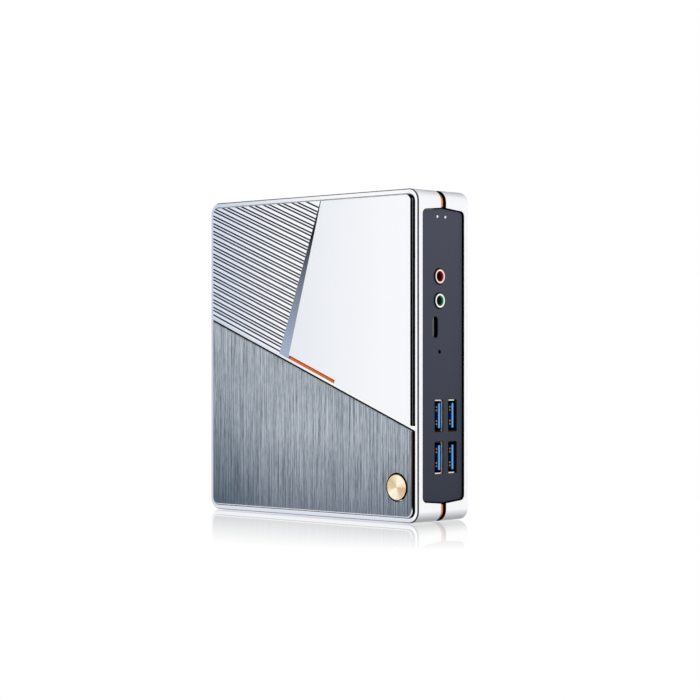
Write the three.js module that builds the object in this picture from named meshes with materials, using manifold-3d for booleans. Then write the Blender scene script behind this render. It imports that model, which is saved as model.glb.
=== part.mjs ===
// A mini desktop computer that stands on its edge, as an assembly of its real pieces.
// Millimetres, +Z up. The decorated face looks along -Y, the main port side along +X and the
// base cover, with its rubber feet, along +Y. The origin is the middle of the bottom.
import * as THREE from "three";
import { mergeVertices } from "three/addons/utils/BufferGeometryUtils.js";
import Module from "manifold-3d";

const wasm = await Module();
wasm.setup();

// ---------------------------------------------------------------- driving dimensions

const WIDTH = 124;
const HEIGHT = 136;
const CORNER_RADIUS = 5;
const WALL = 2.2;
const CLEARANCE = 0.3; // between any two pieces that meet
const ARC_STEPS = 4; // straight stretches in a rounded corner
const BIG = 300; // larger than the object, for cutting tools

// The layers of the case along Y, from the decorated face to the feet.
const BUTTON_FRONT = -17.2;
const PANEL_FRONT = -16.95;
const BAR_FRONT = -16.7;
const BEZEL_FRONT = -16.4;
const PANEL_BACK = -15.8;
const LIP_FRONT = -15.7;
const CARRIER_FRONT = -15.5;
const CARRIER_BACK = -14.9;
const WEB_FRONT = -14.6;
const WEB_BACK = -13.6;
const BOARD_FRONT = -8.6;
const BOARD_BACK = -7;
const FRONT_SHELL_BACK = -2.1;
const REAR_SHELL_FRONT = 0.85;
const LEDGE_FRONT = 12.2;
const LEDGE_BACK = 13.7;
const COVER_FRONT = LEDGE_BACK + CLEARANCE;
const COVER_BACK = 15.5;
const SHELL_BACK = 15.6;
const FOOT_BACK = 17.2;

// The decorated face: a frame with a diagonal bar, and three panels proud of it.
const BEZEL_CHAMFER = 0.35;
const RIM_BACK = BEZEL_FRONT + 0.45; // behind its rim the frame steps in to its seat
const SEAT_INSET = 0.9;
const WINDOW = { left: -60.4, right: 60.4, bottom: 2, top: 134, radius: 3.4 };
const PANEL = { left: -60.1, right: 58.6, bottom: 2.3, top: 133.6, radius: 3 };
const PANEL_CHAMFER = 0.35;
const BRUSHED_RIGHT = 59.2; // the brushed panel reaches further right than the smooth one
const SEAM_HEIGHT = 60.4; // of the seam's middle over X = 0
const SEAM_ANGLE = THREE.MathUtils.degToRad(21.2); // the seam falls to the right
const SEAM_LOW = -0.4; // edge of the brushed panel, square to the seam's middle
const BAR_LOW = 0.35;
const BAR_HIGH = 1.15;
const PANEL_LOW = 1.42; // lower edge of the two upper panels
const FACET_START = -19.6; // along the seam, where the ribs end
const FACET_SLOPE = 0.15;
const SMOOTH_EDGE = { x: -11.9, z: 68.4, lean: 0.297 }; // left edge of the smooth panel
const INLAY = { start: -12.9, end: 15.2, low: PANEL_LOW, high: 2.55 };
const GROOVE_PITCH = 3.16;
const GROOVE_PAIR = 1.91; // from the first groove of a pair to the second
const GROOVE_FIRST = 2.46; // from the seam's middle
const GROOVE_WIDTH = 0.5;
const GROOVE_DEPTH = 0.5;
const GROOVE_PAIRS = 22;

// The power button and its switch.
const BUTTON = { x: 50.5, z: 13.8, radius: 5.4, gap: 0.5, edge: 0.3, dish: 0.15, dishRadius: 60 };
const CAP_BACK = -15.4;
const STEM = { radius: 2.5, hole: 2.8, collar: 3.4, back: -12.5 };
const SWITCH = { side: 6, front: -11.9, well: 2.05, wellBack: -10.4 };
const PLUNGER = { radius: 1.75, front: -12.2, back: -11.1 };

// The two port sides are alike: an opening with shallow V ends, peaked at the case seam.
const OPENING = { front: -13.58, back: 11.8, peakY: -0.6, bottom: 8.5, top: 127.7, peak: 1.1, radius: 2.3 };
const PORT_FACE = 61.2; // outer face of a port panel, along X
const PORT_PANEL_BACK = 59.7;
const PORT_STANDING = BOARD_BACK + CLEARANCE; // where parts that stand on the board begin

// Ports of the main side, as places along Y and Z.
const USB_ROWS = { upper: 43.6, lower: 25.8 };
const USB_COLUMNS = [-2.6, 5.8];
const USB_MOUTH = { height: 13.1, width: 5.7, wall: 0.3 };
const JACKS = { mic: 100.55, headphone: 90.6 };
const JACK = { y: -2.1, radius: 3.1, bore: 1.95, front: 61.9, shoulder: 58.3, back: 47, side: 7.2 };
const USB_C = { y: -5, z: 79.6, height: 8.94, width: 3.16, wall: 0.25 };
const RESET = { y: -2.5, z: 69.5, radius: 0.7 };
const LIGHTS = { z: 125, columns: [-3.7, 1.2], radius: 0.6 };

// Ports of the other side, as heights along Z.
const INLET = { y: -1.6, z: 15.5, hole: 3.9, nose: 3.5, bore: 2.85, pin: 0.85 };
const VIDEO_ROWS = { a: 29.5, b: 46.5 };
const NETWORK = { z: 63, half: 8, high: 6.7, socket: 5.9, latch: 3 };
const VENT = { bottom: 84, top: 124, slots: 13, height: 1.6, length: 18 };

// Bosses, screws and feet. A screw is its head, its shank and where its tip ends.
const CASE_SCREWS = { x: 55.6, low: 6.4, high: HEIGHT - 6.4 };
const CASE_BOSS = { radius: 3.5, thread: 1.8, threadFront: -9.5, hole: 1.95 };
const CASE_SCREW = { head: 2.8, thickness: 0.7, shank: 1.5, under: COVER_FRONT + 0.7, tip: -8, sink: 3.1 };
const BOARD_SCREWS = { x: 36, low: 6.8, high: HEIGHT - 6.8 };
const BOARD_BOSS = { radius: 3, thread: 1.4, hole: 1.6 };
const BOARD_SCREW = { head: 2.5, thickness: 1.4, shank: 1.1, under: BOARD_BACK + CLEARANCE, tip: -12 };
const FEET = { x: 50.5, low: 22, high: HEIGHT - 22 };
const FOOT = { radius: 6, front: 15.3, edge: 0.5 };

// Slots in the base cover, over the memory and the storage card.
const COVER_SLOTS = { count: 7, first: 32, pitch: 5, length: 46, height: 2 };

// Cooling.
const FAN = { x: -21.5, z: 103.4, side: 45, front: -2, back: 8, bore: 20.3, inlet: 14 };
const FAN_VENT = { radius: 21, slots: 9, width: 2 };
const ROTOR = { radius: 18.6, hub: 8, blades: 17, front: 0, back: 6.2, shaft: 1.5 };
const PROCESSOR = { x: 24, z: 100, side: 28, top: -5.6 };
const PIPE = { front: -3.3, thickness: 2.7, width: 8, runZ: 76, finX: -51, bend: 9 };

// ---------------------------------------------------------------- materials

function material(color, roughness, metalness) {
  return new THREE.MeshStandardMaterial({ color, roughness, metalness, flatShading: true });
}

const SATIN_SILVER = material(0xe4e7ec, 0.4, 0.8);
const POLISHED_SILVER = material(0xf2f4f8, 0.22, 0.85);
const RIBBED_SILVER = material(0xdde2ea, 0.35, 0.6);
const BRUSHED_GREY = material(0x767f89, 0.4, 0.75);
const ORANGE = material(0xe25a10, 0.4, 0.1);
const GOLD = material(0xd9b98a, 0.3, 0.9);
const BLACK_PLASTIC = material(0x14151a, 0.55, 0);
const PORT_GREY = material(0x464a55, 0.6, 0);
const RUBBER = material(0x1b1b1d, 0.9, 0);
const STEEL = material(0xb9bcc1, 0.35, 0.9);
const USB_BLUE = material(0x1d63c8, 0.45, 0);
const PINK = material(0xe79a8c, 0.4, 0);
const GREEN = material(0x7fc98f, 0.4, 0);
const CLEAR = material(0xf4f6fa, 0.2, 0);
const BOARD_GREEN = material(0x1e5c3a, 0.5, 0);
const COPPER = material(0xb87345, 0.35, 0.9);
const ALUMINIUM = material(0xc4c8cd, 0.45, 0.85);

// ---------------------------------------------------------------- solids

// A closed three.js geometry as a solid that can be joined and cut.
function solidOf(geometry) {
  const bare = geometry.clone();
  bare.deleteAttribute("normal");
  bare.deleteAttribute("uv");
  const merged = mergeVertices(bare, 1e-4);
  const triangles = [];
  for (let i = 0; i < merged.index.count; i += 3) {
    const [a, b, c] = merged.index.array.slice(i, i + 3);
    if (a !== b && b !== c && c !== a) triangles.push(a, b, c);
  }
  return new wasm.Manifold(
    new wasm.Mesh({
      numProp: 3,
      vertProperties: merged.attributes.position.array,
      triVerts: new Uint32Array(triangles),
    }),
  );
}

// A named mesh of the solid.
function piece(name, solid, finish) {
  const { vertProperties, triVerts } = solid.getMesh();
  const geometry = new THREE.BufferGeometry();
  geometry.setAttribute("position", new THREE.BufferAttribute(vertProperties, 3));
  geometry.setIndex(new THREE.BufferAttribute(triVerts, 1));
  geometry.computeVertexNormals();
  const mesh = new THREE.Mesh(geometry, finish);
  mesh.name = name;
  return mesh;
}

function join(solids) {
  return solids.reduce((whole, solid) => whole.add(solid));
}

// ---------------------------------------------------------------- outlines

// Points of a closed outline whose corners are [x, y, radius], a rounded corner being an arc.
function outline(corners, steps = ARC_STEPS) {
  return corners.flatMap(([x, y, radius = 0], i) => {
    const corner = new THREE.Vector2(x, y);
    if (radius === 0) return [corner];
    const last = new THREE.Vector2(...corners.at(i - 1));
    const next = new THREE.Vector2(...corners[(i + 1) % corners.length]);
    const back = last.sub(corner).normalize();
    const ahead = next.sub(corner).normalize();
    const half = Math.acos(back.dot(ahead)) / 2;
    const inward = back.clone().add(ahead).normalize();
    const centre = corner.clone().addScaledVector(inward, radius / Math.sin(half));
    const start = corner.clone().addScaledVector(back, radius / Math.tan(half)).sub(centre).angle();
    const turn = (Math.PI - 2 * half) * Math.sign(ahead.cross(back));
    return Array.from({ length: steps + 1 }, (_, k) => {
      const angle = start + (turn * k) / steps;
      return new THREE.Vector2(Math.cos(angle), Math.sin(angle)).multiplyScalar(radius).add(centre);
    });
  });
}

function rectangle(left, bottom, right, top, radius = 0, steps = ARC_STEPS) {
  const corners = [
    [left, bottom, radius],
    [right, bottom, radius],
    [right, top, radius],
    [left, top, radius],
  ];
  return outline(corners, steps);
}

// A rectangle given by its middle and its sizes.
function centred(x, y, width, height, radius = 0, steps = ARC_STEPS) {
  return rectangle(x - width / 2, y - height / 2, x + width / 2, y + height / 2, radius, steps);
}

function circle(x, y, radius, sides = 24) {
  return Array.from({ length: sides }, (_, k) => {
    const angle = (2 * Math.PI * k) / sides;
    return new THREE.Vector2(x + radius * Math.cos(angle), y + radius * Math.sin(angle));
  });
}

// The outline of the case, drawn in by inset on every side.
function caseOutline(inset = 0) {
  const side = WIDTH / 2 - inset;
  const radius = Math.max(CORNER_RADIUS - inset, 1);
  return rectangle(-side, inset, side, HEIGHT - inset, radius);
}

// The outline of a port side's opening in Y and Z, drawn in by inset on every side.
function openingOutline(inset = 0) {
  const { front, back, peakY, bottom, top, peak, radius } = OPENING;
  return outline([
    [front + inset, bottom + inset, radius - inset],
    [peakY, bottom - peak + inset],
    [back - inset, bottom + inset, radius - inset],
    [back - inset, top - inset, radius - inset],
    [peakY, top + peak - inset],
    [front + inset, top - inset, radius - inset],
  ]);
}

// ---------------------------------------------------------------- extrusions

// The outline pushed along its normal from 0 to length, with an edge break at both ends.
function extruded(points, length, edge = 0, edgeSteps = 1) {
  return new THREE.ExtrudeGeometry(new THREE.Shape(points), {
    depth: length - 2 * edge,
    bevelEnabled: edge > 0,
    bevelThickness: edge,
    bevelSize: edge,
    bevelOffset: -edge,
    bevelSegments: edgeSteps,
  }).translate(0, 0, edge);
}

// A slab whose outline lies in X and Z, from front to back along Y.
function slabY(points, front, back, edge = 0, edgeSteps = 1) {
  const geometry = extruded(points, back - front, edge, edgeSteps);
  return solidOf(geometry.rotateX(Math.PI / 2).translate(0, back, 0));
}

// A slab whose outline lies in Y and Z, from low to high along X.
function slabX(points, low, high, edge = 0) {
  const turned = new THREE.Matrix4().makeBasis(
    new THREE.Vector3(0, 1, 0),
    new THREE.Vector3(0, 0, 1),
    new THREE.Vector3(1, 0, 0),
  );
  return solidOf(extruded(points, high - low, edge).applyMatrix4(turned).translate(low, 0, 0));
}

function box(low, high) {
  const size = high.map((value, i) => value - low[i]);
  const middle = high.map((value, i) => (value + low[i]) / 2);
  return solidOf(new THREE.BoxGeometry(...size).translate(...middle));
}

// A slab in X and Z with its edge broken at the front only.
function frontBroken(points, front, back, edge) {
  return slabY(points, front, back + edge, edge).subtract(slabY(centred(0, 0, BIG, BIG), back, back + 2 * edge));
}

// The same stretch along X on the other port side.
function mirrored(low, high) {
  return [-high, -low];
}

// ---------------------------------------------------------------- decorated face

// Height of the line parallel to the seam at a distance above it, at one place along X.
function besideSeam(x, distance) {
  return SEAM_HEIGHT + distance / Math.cos(SEAM_ANGLE) - x * Math.tan(SEAM_ANGLE);
}

// Where the smooth panel's left edge meets the line parallel to the seam.
function edgeOnSeam(distance, shift = 0) {
  const { x, z, lean } = SMOOTH_EDGE;
  const rise = besideSeam(0, distance) - z;
  const place = (x + shift + rise * lean) / (1 + Math.tan(SEAM_ANGLE) * lean);
  return [place, besideSeam(place, distance)];
}

// Where the smooth panel's left edge meets the panels' top.
function edgeOnTop(shift = 0) {
  return [SMOOTH_EDGE.x + shift + (PANEL.top - SMOOTH_EDGE.z) * SMOOTH_EDGE.lean, PANEL.top];
}

// A box in the seam's own directions: along it, through the face and square to it.
function seamBox(start, end, front, back, low, high) {
  const geometry = new THREE.BoxGeometry(end - start, back - front, high - low);
  geometry.translate((start + end) / 2, (front + back) / 2, (low + high) / 2);
  return solidOf(geometry.rotateY(SEAM_ANGLE).translate(0, 0, SEAM_HEIGHT));
}

function faceFrame() {
  const { left, right, bottom, top, radius } = WINDOW;
  const rim = frontBroken(caseOutline(), BEZEL_FRONT, RIM_BACK, BEZEL_CHAMFER);
  const seat = slabY(caseOutline(SEAT_INSET), RIM_BACK - 0.05, CARRIER_BACK);
  const window = slabY(rectangle(left, bottom, right, top, radius), BEZEL_FRONT - 1, CARRIER_BACK + 1);
  const bar = seamBox(-BIG, BIG, BAR_FRONT, PANEL_BACK, BAR_LOW, BAR_HIGH);
  const barRoom = slabY(rectangle(left - 0.3, bottom, right + 0.3, top), BAR_FRONT - 1, PANEL_BACK + 1);
  return piece("face_frame", rim.add(seat).subtract(window).add(bar.intersect(barRoom)), POLISHED_SILVER);
}

function panelCarrier() {
  const { left, right, bottom, top, radius } = WINDOW;
  const inset = rectangle(left + CLEARANCE, bottom + CLEARANCE, right - CLEARANCE, top - CLEARANCE, radius);
  const plate = slabY(inset, CARRIER_FRONT, CARRIER_BACK);
  return piece("panel_carrier", plate.subtract(buttonHole(BUTTON.gap)), BLACK_PLASTIC);
}

function buttonHole(gap) {
  return slabY(circle(BUTTON.x, BUTTON.z, BUTTON.radius + gap, 32), PANEL_FRONT - 1, CARRIER_BACK + 0.1);
}

function brushedPanel() {
  const { left, bottom, radius } = PANEL;
  const right = BRUSHED_RIGHT;
  const points = outline([
    [left, bottom, radius],
    [right, bottom, radius],
    [right, besideSeam(right, SEAM_LOW)],
    [left, besideSeam(left, SEAM_LOW)],
  ]);
  const sheet = frontBroken(points, PANEL_FRONT, PANEL_BACK, PANEL_CHAMFER);
  return piece("brushed_panel", sheet.subtract(buttonHole(BUTTON.gap)), BRUSHED_GREY);
}

function smoothPanel() {
  const { right, top, radius } = PANEL;
  const points = outline([
    edgeOnSeam(PANEL_LOW),
    [right, besideSeam(right, PANEL_LOW)],
    [right, top, radius],
    edgeOnTop(),
  ]);
  const sheet = frontBroken(points, PANEL_FRONT, PANEL_BACK, PANEL_CHAMFER);
  const notchEnd = INLAY.end + CLEARANCE;
  const notchHigh = INLAY.high + CLEARANCE;
  const notch = seamBox(FACET_START, notchEnd, PANEL_FRONT - 1, PANEL_BACK + 1, 0, notchHigh);
  return piece("smooth_panel", sheet.subtract(notch), POLISHED_SILVER);
}

function orangeInlay() {
  const { start, end, low, high } = INLAY;
  return piece("orange_inlay", seamBox(start, end, PANEL_FRONT, PANEL_BACK, low, high), ORANGE);
}

// The ribbed field with its sloping facet beside the smooth panel.
function ribbedPanel() {
  const { left, top, radius } = PANEL;
  const points = outline([
    [left, besideSeam(left, PANEL_LOW)],
    edgeOnSeam(PANEL_LOW, -CLEARANCE),
    edgeOnTop(-CLEARANCE),
    [left, top, radius],
  ]);
  const sheet = slabY(points, PANEL_FRONT, PANEL_BACK);
  const grooveBack = PANEL_FRONT + GROOVE_DEPTH;
  const grooves = [];
  for (let pair = 0; pair < GROOVE_PAIRS; pair += 1) {
    for (const offset of [0, GROOVE_PAIR]) {
      const middle = GROOVE_FIRST + pair * GROOVE_PITCH + offset;
      const [low, high] = [middle - GROOVE_WIDTH / 2, middle + GROOVE_WIDTH / 2];
      grooves.push(seamBox(-BIG, FACET_START, PANEL_FRONT - 1, grooveBack, low, high));
    }
  }
  return piece("ribbed_panel", sheet.subtract(join(grooves)).subtract(facetCutter()), RIBBED_SILVER);
}

// Everything in front of the facet's plane, to the right of the ribs' ends.
function facetCutter() {
  const reach = 30;
  const profile = [
    [FACET_START, PANEL_FRONT],
    [FACET_START, PANEL_FRONT - 1],
    [FACET_START + reach, PANEL_FRONT - 1],
    [FACET_START + reach, PANEL_FRONT + reach * FACET_SLOPE],
  ];
  const geometry = extruded(outline(profile), BIG).translate(0, 0, -BIG / 2);
  return solidOf(geometry.rotateY(SEAM_ANGLE).translate(0, 0, SEAM_HEIGHT));
}

// ---------------------------------------------------------------- shells

// The four places at a rectangle's corners, for bosses, screws and feet.
function fourPlaces({ x, low, high }) {
  return [
    [-x, low],
    [x, low],
    [x, high],
    [-x, high],
  ];
}

function cylinderY(x, z, radius, front, back, sides = 16) {
  return slabY(circle(x, z, radius, sides), front, back);
}

function sideOpenings() {
  const wall = [WIDTH / 2 - 2 * WALL, WIDTH / 2 + 1];
  return slabX(openingOutline(), ...wall).add(slabX(openingOutline(), ...mirrored(...wall)));
}

function frontShell() {
  const body = slabY(caseOutline(), LIP_FRONT, FRONT_SHELL_BACK);
  const frameSeat = slabY(caseOutline(SEAT_INSET - CLEARANCE), LIP_FRONT - 1, WEB_FRONT);
  const cavity = slabY(caseOutline(WALL), WEB_BACK, FRONT_SHELL_BACK + 1);
  const stemHole = cylinderY(BUTTON.x, BUTTON.z, STEM.hole, WEB_FRONT - 1, WEB_BACK + 1);
  const root = WEB_BACK - 0.5; // the bosses reach into the web
  let shell = body.subtract(frameSeat).subtract(cavity).subtract(sideOpenings());
  for (const [x, z] of fourPlaces(CASE_SCREWS)) {
    const boss = cylinderY(x, z, CASE_BOSS.radius, root, FRONT_SHELL_BACK - CLEARANCE);
    const thread = cylinderY(x, z, CASE_BOSS.thread, CASE_BOSS.threadFront, FRONT_SHELL_BACK);
    shell = shell.add(boss).subtract(thread);
  }
  for (const [x, z] of fourPlaces(BOARD_SCREWS)) {
    const boss = cylinderY(x, z, BOARD_BOSS.radius, root, BOARD_FRONT - CLEARANCE);
    const thread = cylinderY(x, z, BOARD_BOSS.thread, WEB_BACK + 0.5, BOARD_FRONT);
    shell = shell.add(boss).subtract(thread);
  }
  return piece("front_shell", shell.subtract(stemHole), SATIN_SILVER);
}

function rearShell() {
  const edge = 1.5; // rounds the shell towards the base cover
  const ledgeInset = 5;
  const body = slabY(caseOutline(), REAR_SHELL_FRONT - edge, SHELL_BACK, edge, 2);
  const ahead = slabY(centred(0, HEIGHT / 2, BIG, BIG), REAR_SHELL_FRONT - 2 * edge, REAR_SHELL_FRONT);
  const cavity = slabY(caseOutline(WALL), REAR_SHELL_FRONT - 1, LEDGE_FRONT);
  const ledgeWindow = slabY(caseOutline(ledgeInset), LEDGE_FRONT - 1, LEDGE_BACK + 1);
  const pocket = slabY(caseOutline(WALL + 0.2), LEDGE_BACK, SHELL_BACK + 1);
  let shell = body.subtract(ahead).subtract(cavity).subtract(ledgeWindow).subtract(pocket);
  for (const [x, z] of fourPlaces(CASE_SCREWS)) {
    const boss = cylinderY(x, z, CASE_BOSS.radius, REAR_SHELL_FRONT + CLEARANCE, LEDGE_BACK);
    const hole = cylinderY(x, z, CASE_BOSS.hole, REAR_SHELL_FRONT - 1, LEDGE_BACK + 1);
    shell = shell.add(boss).subtract(hole);
  }
  return piece("rear_shell", shell.subtract(sideOpenings()), SATIN_SILVER);
}

// A ring between two insets of the case's outline.
function ring(outer, inner, front, back) {
  return slabY(caseOutline(outer), front, back).subtract(slabY(caseOutline(inner), front - 1, back + 1));
}

// The dark band in the seam between the shells, and the orange strip laid in its front edge.
// The port panels interrupt both, so each is a piece over the top and one under the bottom.
function seamBands() {
  const front = FRONT_SHELL_BACK + CLEARANCE;
  const back = REAR_SHELL_FRONT - CLEARANCE;
  const stripBack = -0.95;
  const strip = { outer: 0.6, inner: 1.2 };
  const band = { outer: 0.9, behindStrip: 1.5, inner: 2.7 };
  const stripRing = ring(strip.outer, strip.inner, front, stripBack);
  const bandFront = ring(band.behindStrip, band.inner, front, back);
  const bandRing = bandFront.add(ring(band.outer, band.inner, stripBack + CLEARANCE, back));
  const { bottom, top, peak } = OPENING;
  const above = box([-BIG, -BIG, top + peak + CLEARANCE], [BIG, BIG, BIG]);
  const below = box([-BIG, -BIG, -BIG], [BIG, BIG, bottom - peak - CLEARANCE]);
  return [
    piece("seam_band_top", bandRing.intersect(above), BLACK_PLASTIC),
    piece("seam_band_bottom", bandRing.intersect(below), BLACK_PLASTIC),
    piece("orange_band_top", stripRing.intersect(above), ORANGE),
    piece("orange_band_bottom", stripRing.intersect(below), ORANGE),
  ];
}

// ---------------------------------------------------------------- base cover, feet and screws

// Slots side by side that together fill a circle.
function roundVent(x, z, radius, count, width) {
  const pitch = (2 * radius) / (count + 1);
  const slots = Array.from({ length: count }, (_, i) => {
    const offset = pitch * (i + 1) - radius;
    const length = 2 * Math.sqrt(radius ** 2 - offset ** 2);
    const bar = centred(x + offset, z, width, length, width * 0.3, 1);
    return slabY(bar, COVER_FRONT - 1, COVER_BACK + 1);
  });
  return join(slots);
}

function baseCover() {
  let cover = slabY(caseOutline(WALL + 0.5), COVER_FRONT, COVER_BACK);
  cover = cover.subtract(roundVent(FAN.x, FAN.z, FAN_VENT.radius, FAN_VENT.slots, FAN_VENT.width));
  const { count, first, pitch, length, height } = COVER_SLOTS;
  for (let row = 0; row < count; row += 1) {
    const slot = centred(0, first + row * pitch, length, height, height * 0.3, 1);
    cover = cover.subtract(slabY(slot, COVER_FRONT - 1, COVER_BACK + 1));
  }
  for (const [x, z] of fourPlaces(CASE_SCREWS)) {
    const sinkFront = CASE_SCREW.under - CLEARANCE;
    cover = cover.subtract(cylinderY(x, z, CASE_BOSS.hole, COVER_FRONT - 1, COVER_BACK + 1));
    cover = cover.subtract(cylinderY(x, z, CASE_SCREW.sink, sinkFront, COVER_BACK + 1, 20));
  }
  for (const [x, z] of fourPlaces(FEET)) {
    cover = cover.subtract(cylinderY(x, z, FOOT.radius + CLEARANCE, FOOT.front - CLEARANCE, COVER_BACK + 1, 20));
  }
  return piece("base_cover", cover, PORT_GREY);
}

function feet() {
  const { radius, front, edge } = FOOT;
  return fourPlaces(FEET).map(([x, z], i) => {
    const disc = slabY(circle(x, z, radius, 20), front - edge, FOOT_BACK, edge);
    const ahead = slabY(centred(x, z, 4 * radius, 4 * radius), front - 2 * edge, front);
    return piece(`foot_${i + 1}`, disc.subtract(ahead), RUBBER);
  });
}

// A pan head screw along Y with its head towards +Y and a cross recess.
function screw(name, x, z, { head, thickness, shank, under, tip }) {
  const top = under + thickness;
  const body = slabY(circle(x, z, head, 16), under, top).add(cylinderY(x, z, shank, tip, under + 0.1, 10));
  const recess = { length: head * 1.1, width: 0.8, depth: 0.5 };
  const upright = slabY(centred(x, z, recess.width, recess.length), top - recess.depth, top + 1);
  const level = slabY(centred(x, z, recess.length, recess.width), top - recess.depth, top + 1);
  return piece(name, body.subtract(upright.add(level)), STEEL);
}

function caseScrews() {
  return fourPlaces(CASE_SCREWS).map(([x, z], i) => screw(`case_screw_${i + 1}`, x, z, CASE_SCREW));
}

function boardScrews() {
  return fourPlaces(BOARD_SCREWS).map(([x, z], i) => screw(`board_screw_${i + 1}`, x, z, BOARD_SCREW));
}

// ---------------------------------------------------------------- power button

function powerButton() {
  const { x, z, radius, edge, dish, dishRadius } = BUTTON;
  const cap = slabY(circle(x, z, radius, 32), BUTTON_FRONT, CAP_BACK, edge);
  const sphere = new THREE.SphereGeometry(dishRadius, 24, 96);
  const hollow = solidOf(sphere.translate(x, BUTTON_FRONT + dish - dishRadius, z));
  const stem = cylinderY(x, z, STEM.radius, CAP_BACK - 0.2, STEM.back);
  const collar = cylinderY(x, z, STEM.collar, WEB_BACK + CLEARANCE, STEM.back);
  return piece("power_button", cap.subtract(hollow).add(stem).add(collar), GOLD);
}

function powerSwitch() {
  const { x, z } = BUTTON;
  const { side, front, well, wellBack } = SWITCH;
  const body = slabY(centred(x, z, side, side, 0.6, 2), front, BOARD_FRONT - CLEARANCE);
  const hollow = cylinderY(x, z, well, front - 1, wellBack);
  const plunger = cylinderY(x, z, PLUNGER.radius, PLUNGER.front, PLUNGER.back);
  return [
    piece("power_switch", body.subtract(hollow), BLACK_PLASTIC),
    piece("power_switch_plunger", plunger, BLACK_PLASTIC),
  ];
}

// ---------------------------------------------------------------- main port side

function portPanel() {
  const through = [PORT_PANEL_BACK - 1, PORT_FACE + 1];
  const wider = 2 * CLEARANCE;
  const usbC = centred(USB_C.y, USB_C.z, USB_C.width + wider, USB_C.height + wider, USB_C.width / 2 + 0.29);
  const holes = [usbC, circle(RESET.y, RESET.z, RESET.radius, 12)];
  for (const y of LIGHTS.columns) holes.push(circle(y, LIGHTS.z, LIGHTS.radius + CLEARANCE, 12));
  for (const z of Object.values(JACKS)) holes.push(circle(JACK.y, z, JACK.radius + CLEARANCE, 28));
  for (const z of Object.values(USB_ROWS)) {
    for (const y of USB_COLUMNS) {
      holes.push(centred(y, z, USB_MOUTH.width + wider, USB_MOUTH.height + wider, 0.6, 2));
    }
  }
  const plate = slabX(openingOutline(CLEARANCE), PORT_PANEL_BACK, PORT_FACE);
  const cuts = holes.map((hole) => slabX(hole, ...through));
  return piece("port_panel", plate.subtract(join(cuts)), PORT_GREY);
}

// One clear moulding with a rod for each light, standing on the board.
function lightPipe() {
  const { z, columns, radius } = LIGHTS;
  const foot = { back: 50, front: 54, below: 4, beside: 1.5 };
  const rods = columns.map((y) => slabX(circle(y, z, radius, 12), foot.front - 1, PORT_FACE));
  const corner = [foot.front, columns.at(-1) + foot.beside, z + radius];
  const block = box([foot.back, PORT_STANDING, z - foot.below], corner);
  return piece("light_pipe", join([block, ...rods]), CLEAR);
}

function audioJack(name, z, finish) {
  const { y, radius, bore, front, shoulder, back, side } = JACK;
  const hollow = slabX(circle(y, z, bore, 20), back + 2, front + 1);
  const sleeve = slabX(circle(y, z, radius, 28), shoulder + CLEARANCE, front, 0.2);
  const body = box([back, PORT_STANDING, z - side / 2], [shoulder, y + side / 2 + 0.2, z + side / 2]);
  return [
    piece(`${name}_jack_ring`, sleeve.subtract(hollow), finish),
    piece(`${name}_jack_body`, body.subtract(hollow), finish),
  ];
}

function usbC() {
  const { y, z, height, width, wall } = USB_C;
  const [back, mouth] = [53.5, 61];
  const floor = back + 1.6;
  const blade = { half: 3.2, thickness: 0.7, root: 1.6, rootLength: 1.5 };
  const innerWidth = width - 2 * wall;
  const outer = slabX(centred(y, z, width, height, width / 2 - 0.01, 4), back, mouth);
  const inner = slabX(centred(y, z, innerWidth, height - 2 * wall, innerWidth / 2 - 0.01, 4), floor, mouth + 1);
  const start = floor + CLEARANCE;
  const tongue = slabX(centred(y, z, blade.thickness, 2 * blade.half), start, mouth - 0.9);
  const root = slabX(centred(y, z, blade.root, 2 * blade.half), start, start + blade.rootLength);
  return [
    piece("usb_c_shell", outer.subtract(inner), STEEL),
    piece("usb_c_tongue", tongue.add(root), BLACK_PLASTIC),
  ];
}

function resetButton() {
  const { y, z } = RESET;
  const body = { back: 50, front: 57, half: 3, above: 2 };
  const well = { floor: 54.6, radius: 1.3 };
  const plunger = { back: 55.4, front: 59.2, radius: 1 };
  const block = box([body.back, PORT_STANDING, z - body.half], [body.front, y + body.above, z + body.half]);
  const hollow = slabX(circle(y, z, well.radius, 12), well.floor, body.front + 1);
  const pin = slabX(circle(y, z, plunger.radius, 12), plunger.back, plunger.front);
  return [
    piece("reset_switch", block.subtract(hollow), BLACK_PLASTIC),
    piece("reset_button", pin, CLEAR),
  ];
}

// Two USB sockets, one beside the other along Y, in one steel shell with a blue core.
function usbStack(name, z) {
  const { height, width, wall } = USB_MOUTH;
  const [back, front, mouth] = [44.5, 59.3, 61];
  const can = { half: 7.2, wall: 0.4, high: USB_COLUMNS.at(-1) + width / 2 + 0.6 };
  const core = { back: back + 0.7, front: 47.2, half: 6.4 };
  const tongue = { low: 0.4, high: 1.75, half: 5.1, front: mouth - 0.8 };
  const outside = box([back, PORT_STANDING, z - can.half], [front, can.high, z + can.half]);
  const inside = can.half - can.wall;
  const hollow = box([back + can.wall, -BIG, z - inside], [front - can.wall, can.high - can.wall, z + inside]);
  const tubes = USB_COLUMNS.map((y) => slabX(centred(y, z, width, height, 0.4, 1), core.front + 0.4, mouth));
  const mouths = USB_COLUMNS.map((y) => {
    return slabX(centred(y, z, width - 2 * wall, height - 2 * wall, 0.15, 1), core.front - 0.2, mouth + 1);
  });
  const shell = outside.subtract(hollow).add(join(tubes)).subtract(join(mouths));
  const root = box([core.back, PORT_STANDING, z - core.half], [core.front, can.high - 2 * can.wall, z + core.half]);
  const tongues = USB_COLUMNS.map((y) => {
    return box([core.front - 0.2, y + tongue.low, z - tongue.half], [tongue.front, y + tongue.high, z + tongue.half]);
  });
  return [
    piece(`usb_${name}_shell`, shell, STEEL),
    piece(`usb_${name}_core`, join([root, ...tongues]), USB_BLUE),
  ];
}

// ---------------------------------------------------------------- other port side

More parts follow.
